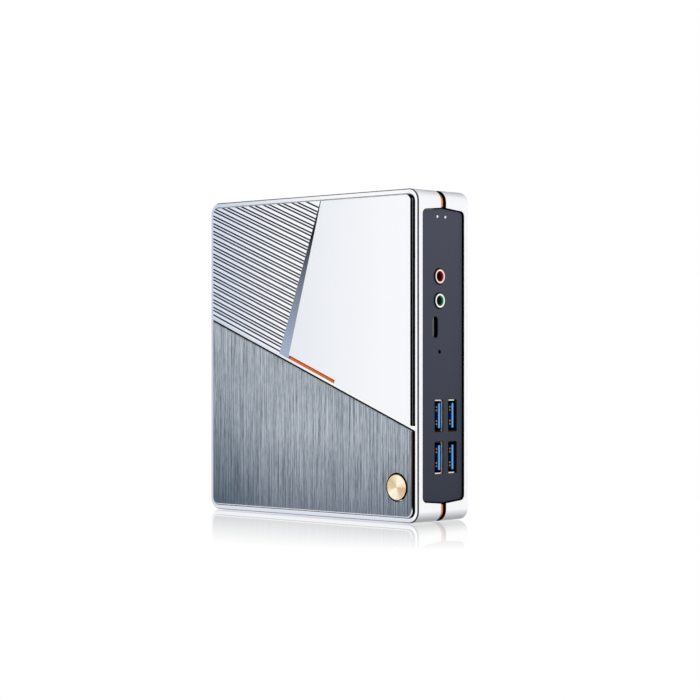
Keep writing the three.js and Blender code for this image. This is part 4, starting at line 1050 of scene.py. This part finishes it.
def front_shell():
    """The tray behind the plates: a web across the front, and walls back to the seam."""
    edge = 0.12
    profile = [
        (WEB_FRONT, 0.6), (LIP_FRONT, 0.6), (LIP_FRONT, edge), (LIP_FRONT + edge, 0),
        (FRONT_SHELL_BACK - edge, 0), (FRONT_SHELL_BACK, edge), (FRONT_SHELL_BACK, WALL), (WEB_BACK, WALL),
    ]
    stem_hole = circle(BUTTON["x"], BUTTON["z"], 2.8)
    tray = solid([(case_outline(), profile), (stem_hole, [(WEB_FRONT, 0), (WEB_BACK, 0)])], on_face)
    tray = eased(cut(tray, side_cutters()), 0.1)
    add_piece("front_tray", tray, SATIN, ["front_shell"])


def rear_shell():
    """The walls behind the seam, rounded over at the back, with the ledge under the cover."""
    edge = 0.12
    round_over = 1.5
    curve = [(SHELL_BACK - round_over * (1 - math.sin(t)), round_over * (1 - math.cos(t)))
             for t in quarter(8)]
    profile = [(REAR_SHELL_FRONT, edge), (REAR_SHELL_FRONT + edge, 0)] + curve + [
        (SHELL_BACK, WALL + 0.2), (LEDGE_BACK, WALL + 0.2), (LEDGE_BACK, 5), (LEDGE_FRONT, 5),
        (LEDGE_FRONT, WALL), (REAR_SHELL_FRONT, WALL),
    ]
    tub = hoop(case_outline(), profile, on_face)
    tub = eased(cut(tub, side_cutters()), 0.1)
    add_piece("rear_tub", tub, SATIN, ["rear_shell"])


def seam_bands():
    """The dark band in the case's seam and the orange strip in its front edge."""
    front = FRONT_SHELL_BACK + CLEARANCE
    back = REAR_SHELL_FRONT - CLEARANCE
    beside = STRIP_BACK + CLEARANCE
    strip_profile = [(front, 0.4), (front + 0.06, 0.35), (STRIP_BACK - 0.06, 0.35), (STRIP_BACK, 0.4),
                     (STRIP_BACK, 1.2), (front, 1.2)]
    band_profile = [(front, 1.5), (beside, 1.5), (beside, 0.95), (beside + 0.06, 0.9),
                    (back - 0.06, 0.9), (back, 0.95), (back, 2.7), (front, 2.7)]
    kinds = [("band", "seam_band", band_profile, MATT_BLACK, "black_plastic"),
             ("strip", "orange_band", strip_profile, SEAM_ORANGE, "orange_accent")]
    o = OPENING
    limits = {"top": (o["top"] + o["peak"] + CLEARANCE, HEIGHT + 5),
              "bottom": (-5, o["bottom"] - o["peak"] - CLEARANCE)}
    for name, (low, high) in limits.items():
        for kind, node, profile, material, slot in kinds:
            room = block((-WIDTH, -10, low), (WIDTH, 10, high), 0.01, 1)
            part = common(hoop(case_outline(), profile, on_face), room)
            add_piece(f"{name}_{kind}", part, material, [f"{node}_{name}"])


# ------------------------------------------------------------------ main port side


def port_plate(name, side, holes, node):
    """A port side's plate, its outer face towards side along X, with the edge of every hole broken."""
    outer, inner = side * PORT_FACE, side * PORT_PANEL_BACK
    rim = [(inner, 0), (outer - side * 0.15, 0), (outer - side * 0.045, 0.045), (outer, 0.15)]
    edge = [(inner, 0), (outer - side * 0.06, 0), (outer, 0.06)]
    loops = [(opening_outline(PORT_GAP), rim)]
    loops += [(points, edge) for points in holes]
    add_piece(name, solid(loops, on_side), PORT_GREY, [node])


def main_port_plate():
    """The plate on the right, with holes for the lights, jacks, sockets and the reset button."""
    c = USB_C
    holes = [circle(y, LIGHTS["z"], LIGHTS["radius"] + 0.1, 32) for y in LIGHTS["columns"]]
    holes += [circle(JACK_Y, z, JACK_RADIUS + 0.4, 64) for z in JACKS.values()]
    holes.append(centred(c["y"], c["z"], c["width"], c["height"], c["width"] / 2 - 0.01))
    holes.append(circle(RESET["y"], RESET["z"], RESET["radius"], 32))
    for z in USB_ROWS.values():
        holes += [centred(y, z, USB_MOUTH["width"], USB_MOUTH["height"], 0.6, 4) for y in USB_COLUMNS]
    port_plate("port_plate", 1, holes, "port_panel")


def light_rods():
    """Two clear rods with domed ends, on a common foot."""
    radius, face, back = LIGHTS["radius"], PORT_FACE, 53.5
    profile = [(0, face), (radius * 0.5, face - 0.02), (radius * 0.85, face - 0.1), (radius, face - 0.3),
               (radius, back), (0, back)]
    rods = [turned(profile, y, LIGHTS["z"], on_side, 32) for y in LIGHTS["columns"]]
    foot = block((50, PORT_STANDING, LIGHTS["z"] - 4), (back + 0.5, 2.7, LIGHTS["z"] + radius), 0.3)
    add_piece("light_rods", joined([foot] + rods), GUIDE, ["light_pipe"])


def nose(bore, radius, lip, mouth, shoulder, steps):
    """The profile of a sleeve from its shoulder to a mouth that is rounded outside and in."""
    inward = math.copysign(lip, shoulder - mouth)
    turns = quarter(steps)
    outside = [(radius - lip * (1 - math.cos(t)), mouth + inward * (1 - math.sin(t))) for t in turns]
    inside = [(bore + lip * (1 - math.sin(t)), mouth + inward * (1 - math.cos(t))) for t in turns]
    return [(bore, shoulder), (radius, shoulder)] + outside + inside


def bored(section, profile, y, z, radius):
    """A solid along X with a round hole through both its caps."""
    through = [(profile[0][0], 0), (profile[-1][0], 0)]
    return solid([(section, profile), (circle(y, z, radius, 64), through)], on_side)


def audio_jack(name, material):
    """A coloured socket: a sleeve with a rounded mouth, in front of a bored body."""
    y, z = JACK_Y, JACKS[name]
    shoulder, floor, back = 58.3, 49.0, 47
    high_y, half = y + 3.8, 3.6
    sleeve = turned_ring(nose(JACK_BORE, JACK_RADIUS, 0.5, JACK_FRONT, shoulder, 5), y, z, on_side)
    section = rectangle(PORT_STANDING, z - half, high_y, z + half, 0.4, 4)
    body = bored(section, rounded(floor, shoulder, 0.05, 0.2), y, z, JACK_BORE)
    end = bar(z, half, (back, PORT_STANDING), (floor, high_y), 0.3)
    nodes = [f"{name}_jack_ring", f"{name}_jack_body"]
    add_piece(f"{name}_jack", joined([sleeve, body, end]), material, nodes)


def usb_c():
    """A steel can almost flush with its slot, with a black blade and its contacts."""
    c = USB_C
    back, mouth = 53.5, PORT_FACE - 0.05
    wall, gap = c["wall"], 0.04
    outside = centred(c["y"], c["z"], c["width"] - gap, c["height"] - gap, c["width"] / 2 - gap, 10)
    profile = [(back, 0), (mouth - 0.05, 0), (mouth, 0.06), (mouth, wall - 0.06), (mouth - 0.06, wall),
               (back + 1.6, wall), (back + 1.6, 1.2), (back, 1.2)]
    add_piece("usb_c_can", hoop(outside, profile, on_side), USB_C_METAL, ["usb_c_shell"])
    blade = centred(c["y"], c["z"], 0.7, 6.4, 0.2, 3)
    tongue = solid([(blade, rounded(back + 1.9, mouth - 0.6, 0.1, 0.1, 2))], on_side)
    add_piece("usb_c_blade", tongue, MATT_BLACK, ["usb_c_tongue"])
    contacts = []
    for y in (c["y"] - 0.39, c["y"] + 0.35):
        for offset in spaced(12, 0.5):
            contacts.append(bar(c["z"] + offset, 0.12, (mouth - 4.2, y), (mouth - 1.1, y + 0.04), 0.01, 1))
    add_piece("usb_c_contacts", joined(contacts), CONTACT_GOLD)


def usb_can(y, z):
    """One socket's steel: the tube, with two springs in its wall and two at its ends."""
    width, height, wall = USB_MOUTH["width"] - 0.3, USB_MOUTH["height"] - 0.3, USB_MOUTH["wall"]
    back, mouth = USB_MOUTH["back"], USB_MOUTH["front"]
    profile = [(back, 0), (mouth - 0.06, 0), (mouth, 0.08), (mouth, wall - 0.08), (mouth - 0.12, wall),
               (back, wall)]
    parts = [hoop(centred(y, z, width, height, 0.5, 5), profile, on_side)]
    across = y + width / 2 - wall
    for side in (-1, 1):
        end = z + side * (height / 2 - wall)
        parts.append(block((mouth - 3.4, y - 1.1, end), (mouth - 1.4, y + 0.5, end - side * 0.22), 0.08))
        parts.append(bar(z + side * 2.6, 0.9, (mouth - 3.6, across - 0.25), (mouth - 1.4, across + 0.02)))
    return parts


def usb_lip(y, z, outer_side):
    """The bright flared lip at a can's outer end."""
    edge = z + outer_side * (USB_MOUTH["height"] / 2 - 0.05)
    low = (USB_MOUTH["front"] - 0.9, y - 2.35, edge)
    return block(low, (PORT_FACE - 0.12, y + 1.2, edge - outer_side * 0.55), 0.12)


def usb_socket(name):
    """Two sockets in one can, with blue tongues and gold contacts."""
    z = USB_ROWS[name]
    width, height = USB_MOUTH["width"], USB_MOUTH["height"]
    back, mouth = USB_MOUTH["back"], USB_MOUTH["front"]
    outer_side = 1 if name == "upper" else -1
    metal, blue, gold, dark = [], [], [], []
    for y in USB_COLUMNS:
        metal += usb_can(y, z)
        tongue = rectangle(y + 0.62, z - 5.1, y + 1.62, z + 5.1, 0.15, 3)
        blue.append(solid([(tongue, rounded(back - 0.4, mouth - 0.4, 0.1, 0.12))], on_side))
        floor = centred(y, z, width - 1.1, height - 1.1, 0.2, 2)
        dark.append(solid([(floor, rounded(back - 0.4, back + 1.2, 0.05, 0.05))], on_side))
        for place in (-3.5, -2.2, 2.2, 3.5):
            gold.append(bar(z + place, 0.36, (mouth - 8, y - 0.15), (mouth - 0.95, y + 0.66), 0.2))
    can = bar(z, 7.2, (USB_BODY_BACK, PORT_STANDING), (back, USB_COLUMNS[1] + width / 2 + 0.6), 0.2)
    lips = [usb_lip(y, z, outer_side) for y in USB_COLUMNS]
    add_piece(f"usb_{name}_cans", joined(metal + [can]), CAN, [f"usb_{name}_shell"])
    add_piece(f"usb_{name}_lips", joined(lips), LIP)
    add_piece(f"usb_{name}_tongues", joined(blue), TONGUE_BLUE, [f"usb_{name}_core"])
    add_piece(f"usb_{name}_floors", joined(dark), MATT_BLACK)
    add_piece(f"usb_{name}_contacts", joined(gold), CONTACT_GOLD)


# ------------------------------------------------------------------ other port side


def video_outline(z, grow=0.0):
    """The six-sided mouth of a video socket, its narrower side towards the board."""
    low, knee, high = -6.4 - grow, -4.4, -0.8 + grow
    narrow, wide = 5.9 + grow, 7.6 + grow
    corners = [(low, z - narrow), (knee, z - wide), (high, z - wide)]
    corners += [(high, z + wide), (knee, z + wide), (low, z + narrow)]
    return outline([(*corner, 0.35) for corner in corners], 4)


def rear_port_plate():
    """The plate on the left, with holes for the sockets and a row of vent slots."""
    holes = [circle(INLET["y"], INLET["z"], INLET["hole"], 64), centred(0, NETWORK["z"], 14, 16.6, 0.4)]
    holes += [video_outline(z, 0.3) for z in VIDEO_ROWS.values()]
    pitch = (VENT["top"] - VENT["bottom"]) / VENT["slots"]
    for row in range(VENT["slots"]):
        z = VENT["bottom"] + (row + 0.5) * pitch
        holes.append(centred(OPENING["peak_y"], z, VENT["length"], VENT["height"], 0.79, 6))
    port_plate("rear_port_plate", -1, holes, "rear_port_panel")


def power_inlet():
    """A round socket with a rounded nose and a plated centre pin."""
    y, z, bore = INLET["y"], INLET["z"], INLET["bore"]
    mouth, shoulder, floor, back = -61.6, -59.3, -51, -47
    sleeve = turned_ring(nose(bore, INLET["nose"], 0.25, mouth, shoulder, 4), y, z, on_side)
    section = rectangle(PORT_STANDING, z - 4.5, 3.6, z + 4.5, 0.4, 4)
    body = bored(section, rounded(shoulder, floor, 0.3, 0.05), y, z, bore)
    end = solid([(section, rounded(floor, back, 0.05, 0.3))], on_side)
    add_piece("inlet_socket", joined([sleeve, body, end]), BLACK, ["power_inlet"])
    tip, foot = mouth + 1.4, floor + 0.1
    pin_profile = [(0, tip), (0.5, tip + 0.05), (0.8, tip + 0.3), (0.85, tip + 0.6), (0.85, foot), (0, foot)]
    pin = turned(pin_profile, y, z, on_side, 32)
    add_piece("inlet_pin", pin, STEEL)


def video_socket(name):
    """A plated can with a black floor, a tongue and its contacts."""
    z = VIDEO_ROWS[name]
    mouth, back, wall = -61.1, -49.6, 0.35
    profile = [(mouth, 0.08), (mouth + 0.06, 0), (back, 0), (back, wall), (mouth + 0.1, wall),
               (mouth, wall - 0.08)]
    can = hoop(video_outline(z), profile, on_side)
    add_piece(f"video_{name}_can", can, STEEL, [f"video_port_{name}"])
    floor = solid([(video_outline(z, -wall - 0.02), [(back, 0), (back + 1.5, 0)])], on_side)
    tongue = bar(z, 5.6, (mouth + 1.2, -3.9), (back + 1, -2.7), 0.12)
    add_piece(f"video_{name}_tongue", joined([floor, tongue]), MATT_BLACK)
    contacts = []
    for offset in spaced(10, 1.1):
        for y in (-2.72, -3.98):
            contacts.append(bar(z + offset, 0.2, (mouth + 1.6, y), (mouth + 6, y + 0.1), 0.03, 1))
    add_piece(f"video_{name}_contacts", joined(contacts), CONTACT_GOLD)


def network_socket():
    """A plated can round a black insert, with eight sprung wires and a notch for the latch."""
    n = NETWORK
    z, mouth, back = n["z"], -61, -40
    points = rectangle(PORT_STANDING, z - n["half"], n["high"], z + n["half"], 0.5, 4)
    profile = [(mouth, 0.12), (mouth + 0.1, 0), (back, 0), (back, 0.5), (mouth + 0.1, 0.5), (mouth, 0.4)]
    add_piece("network_can", hoop(points, profile, on_side), STEEL, ["network_port"])
    low, half, high = PORT_STANDING + 0.52, n["half"] - 0.52, n["high"] - 0.52
    within = rectangle(low, z - half, high, z + half, 0.3, 3)
    insert = solid([(within, rounded(mouth + 0.35, back + 0.1, 0.1, 0.1))], on_side)
    insert = cut(insert, bar(z, n["socket"], (mouth - 1, -3.6), (-46, 4.2), 0.15))
    insert = cut(insert, bar(z, n["latch"], (mouth - 1, 4.0), (-50, 5.6), 0.15))
    add_piece("network_insert", insert, BLACK)
    wires = [bar(z + offset, 0.17, (mouth + 2.5, -3.5), (-46.1, -2.9)) for offset in spaced(8, 1.02)]
    add_piece("network_wires", joined(wires), CONTACT_GOLD)


# ------------------------------------------------------------------ base cover, feet and screws


def four_places(places):
    """The corners of a rectangle, in the order of the CAD's numbered nodes."""
    x, low, high = places["x"], places["low"], places["high"]
    return [(-x, low), (x, low), (x, high), (-x, high)]


def round_vent():
    """Slots side by side that together fill a circle."""
    radius, width, count = FAN_VENT["radius"], FAN_VENT["width"], FAN_VENT["slots"]
    slots = []
    for offset in spaced(count, 2 * radius / (count + 1)):
        length = 2 * math.sqrt(radius ** 2 - offset ** 2)
        slots.append(centred(FAN["x"] + offset, FAN["z"], width, length, width / 2 - 0.01, 6))
    return slots


def base_plate():
    """The cover under the computer, with vents, countersunk screw holes and recesses for the feet."""
    front, back = COVER_FRONT, COVER_BACK
    rim = [(front, 0.1), (front + 0.1, 0), (back - 0.2, 0), (back - 0.06, 0.06), (back, 0.2)]
    edge = [(front, 0), (back - 0.12, 0), (back, 0.12)]
    loops = [(case_outline(WALL + 0.5), rim)]
    loops += [(points, edge) for points in round_vent()]
    c = COVER_SLOTS
    for row in range(c["count"]):
        slot = centred(0, c["first"] + row * c["pitch"], c["length"], c["height"], c["height"] / 2 - 0.01, 6)
        loops.append((slot, edge))
    sink = [(front, 0), (14.4, 0), (14.4, 1.15), (back - 0.1, 1.15), (back, 1.25)]
    loops += [(circle(x, z, 1.95, 48), sink) for x, z in four_places(CASE_SCREWS)]
    plate = solid(loops, on_face)
    hollow = [(FOOT["front"] - 0.3, 0), (back + 1, 0)]
    for x, z in four_places(FEET):
        plate = cut(plate, solid([(circle(x, z, FOOT["radius"] + CLEARANCE, 64), hollow)], on_face))
    add_piece("base_plate", plate, COVER_GREY, ["base_cover"])


def feet():
    """Rubber discs with a rounded edge and a shallow ring groove."""
    front, back, radius = FOOT["front"], FOOT_BACK, FOOT["radius"]
    edge = 0.7
    profile = [(0, back), (3.4, back), (3.55, back - 0.2), (4.05, back - 0.2), (4.2, back)]
    profile += [(radius - edge * (1 - math.sin(t)), back - edge * (1 - math.cos(t))) for t in quarter(5)]
    profile += [(radius, front), (0, front)]
    for i, (x, z) in enumerate(four_places(FEET), 1):
        add_piece(f"rubber_foot_{i}", turned(profile, x, z, on_face), RUBBER, [f"foot_{i}"])


def case_screws():
    """Pan head screws with a cross recess."""
    top, under, tip = 15.4, 14.7, -8
    head, shank = 2.8, 1.5
    profile = [(0, top), (2.1, top), (2.5, top - 0.07), (2.72, top - 0.22), (head, top - 0.42)]
    profile += [(head, under), (shank, under), (shank, tip + 0.5), (shank - 0.4, tip), (0, tip)]
    for i, (x, z) in enumerate(four_places(CASE_SCREWS), 1):
        screw = turned(profile, x, z, on_face, 48)
        for wide, high in ((0.4, 1.5), (1.5, 0.4)):
            arm = bar(z, high, (x - wide, top - 0.5), (x + wide, top + 1), 0.05, 1)
            screw = cut(screw, arm)
        add_piece(f"screw_{i}", screw, STEEL, [f"case_screw_{i}"])


# ------------------------------------------------------------------ stage

MIRROR_SHARE = 0.46
MIRROR_REACH = 108
FLOOR_SIZE = 24
CARD_DISTANCE = 1.8


def flat_sheet(name, width, height, material):
    """A flat sheet over X and Y that isn't part of the object."""
    mesh = bmesh.new()
    for x, y in ((-1, -1), (1, -1), (1, 1), (-1, 1)):
        mesh.verts.new((x * width / 2, y * height / 2, 0))
    mesh.faces.new(mesh.verts)
    data = bpy.data.meshes.new(name)
    mesh.to_mesh(data)
    mesh.free()
    data.materials.append(material)
    sheet = bpy.data.objects.new(name, data)
    bpy.context.scene.collection.objects.link(sheet)
    return sheet


def add_floor():
    """A white ground that mirrors the object faintly, and less so further away from it."""
    s = Shader("ground", (0.9, 0.9, 0.9), roughness=0.9)
    x, y, _ = s.axes(s.place)
    squares = []
    for value, edge in ((x, WIDTH / 2 * MM), (y, FOOT_BACK * MM)):
        past = s.math("SUBTRACT", s.math("ABSOLUTE", value), edge)
        squares.append(s.math("POWER", s.math("MAXIMUM", past, 0), 2))
    distance = s.math("SQRT", s.math("ADD", *squares))
    mirroring = s.span(distance, MIRROR_SHARE, 0.0, 0.0, MIRROR_REACH * MM)
    glow = s.node("Emission", {"Strength": 1.0}).outputs[0]
    mirror = s.node("BsdfGlossy", {"Color": (1, 1, 1, 1), "Roughness": 0.03}).outputs[0]
    mixed = s.node("MixShader", {"Fac": mirroring, 1: glow, 2: mirror})
    floor = flat_sheet("floor", FLOOR_SIZE, FLOOR_SIZE, s.lit(mixed))
    floor.location.z = -0.0002
    floor.visible_glossy = False


def add_card(name, azimuth, elevation, size, color):
    """A coloured card that only shows in the metal's reflections."""
    s = Shader(name, color)
    card = flat_sheet(name, *size, s.lit(s.node("Emission", {"Color": (*color, 1)})))
    a, e = math.radians(azimuth), math.radians(elevation)
    away = Vector((math.sin(a) * math.cos(e), -math.cos(a) * math.cos(e), math.sin(e)))
    card.location = away * CARD_DISTANCE + Vector((0, 0, HEIGHT / 2 * MM))
    card.rotation_euler = away.to_track_quat("Z", "Y").to_euler()
    for kind in ("camera", "diffuse", "shadow", "transmission"):
        setattr(card, f"visible_{kind}", False)


def add_world():
    """Even white light from all round."""
    world = bpy.data.worlds.new("studio")
    world.use_nodes = True
    background = world.node_tree.nodes["Background"]
    background.inputs["Color"].default_value = (1, 1, 1, 1)
    background.inputs["Strength"].default_value = 1.0
    bpy.context.scene.world = world
    bpy.context.scene.view_settings.view_transform = "Standard"


def add_studio():
    """The light, the ground, and cards that darken two reflections.

    The case's bend at the top mirrors the card over its back, and the frame's upper
    chamfer mirrors the card over its left.
    """
    add_world()
    add_floor()
    add_card("card_over_back", 197, 30, (1.6, 0.9), (0.27, 0.28, 0.31))
    add_card("card_over_left", -95, 48, (1.6, 1.0), (0.1, 0.1, 0.12))


# ------------------------------------------------------------------ the scene

# CAD nodes that are shown as they are, with a better material.
CARRIED_OVER = {
    MATT_BLACK: ["panel_carrier", "reset_button"],
    BLACK: ["power_switch", "power_switch_plunger", "reset_switch", "fan_housing", "fan_rotor",
            "memory_socket", "storage_socket"],
    BOARD: ["main_board", "processor", "memory_module", "storage_card"],
    COPPER: ["cold_plate", "heat_pipe"],
    FINS: ["fin_stack"],
    STEEL: [f"board_screw_{k}" for k in range(1, 5)] + ["wireless_module", "coin_cell"],
}

for material, names in CARRIED_OVER.items():
    for name in names:
        data = NODES[name].data
        data.materials.clear()
        data.materials.append(material)

add_camera()
face_frame()
brushed_plate()
smooth_plate()
inlay()
channel_line()
ribbed_plate()
power_button()
front_shell()
rear_shell()
seam_bands()
main_port_plate()
light_rods()
audio_jack("mic", PINK)
audio_jack("headphone", GREEN)
usb_c()
for row in USB_ROWS:
    usb_socket(row)
rear_port_plate()
power_inlet()
for row in VIDEO_ROWS:
    video_socket(row)
network_socket()
base_plate()
feet()
case_screws()
add_studio()
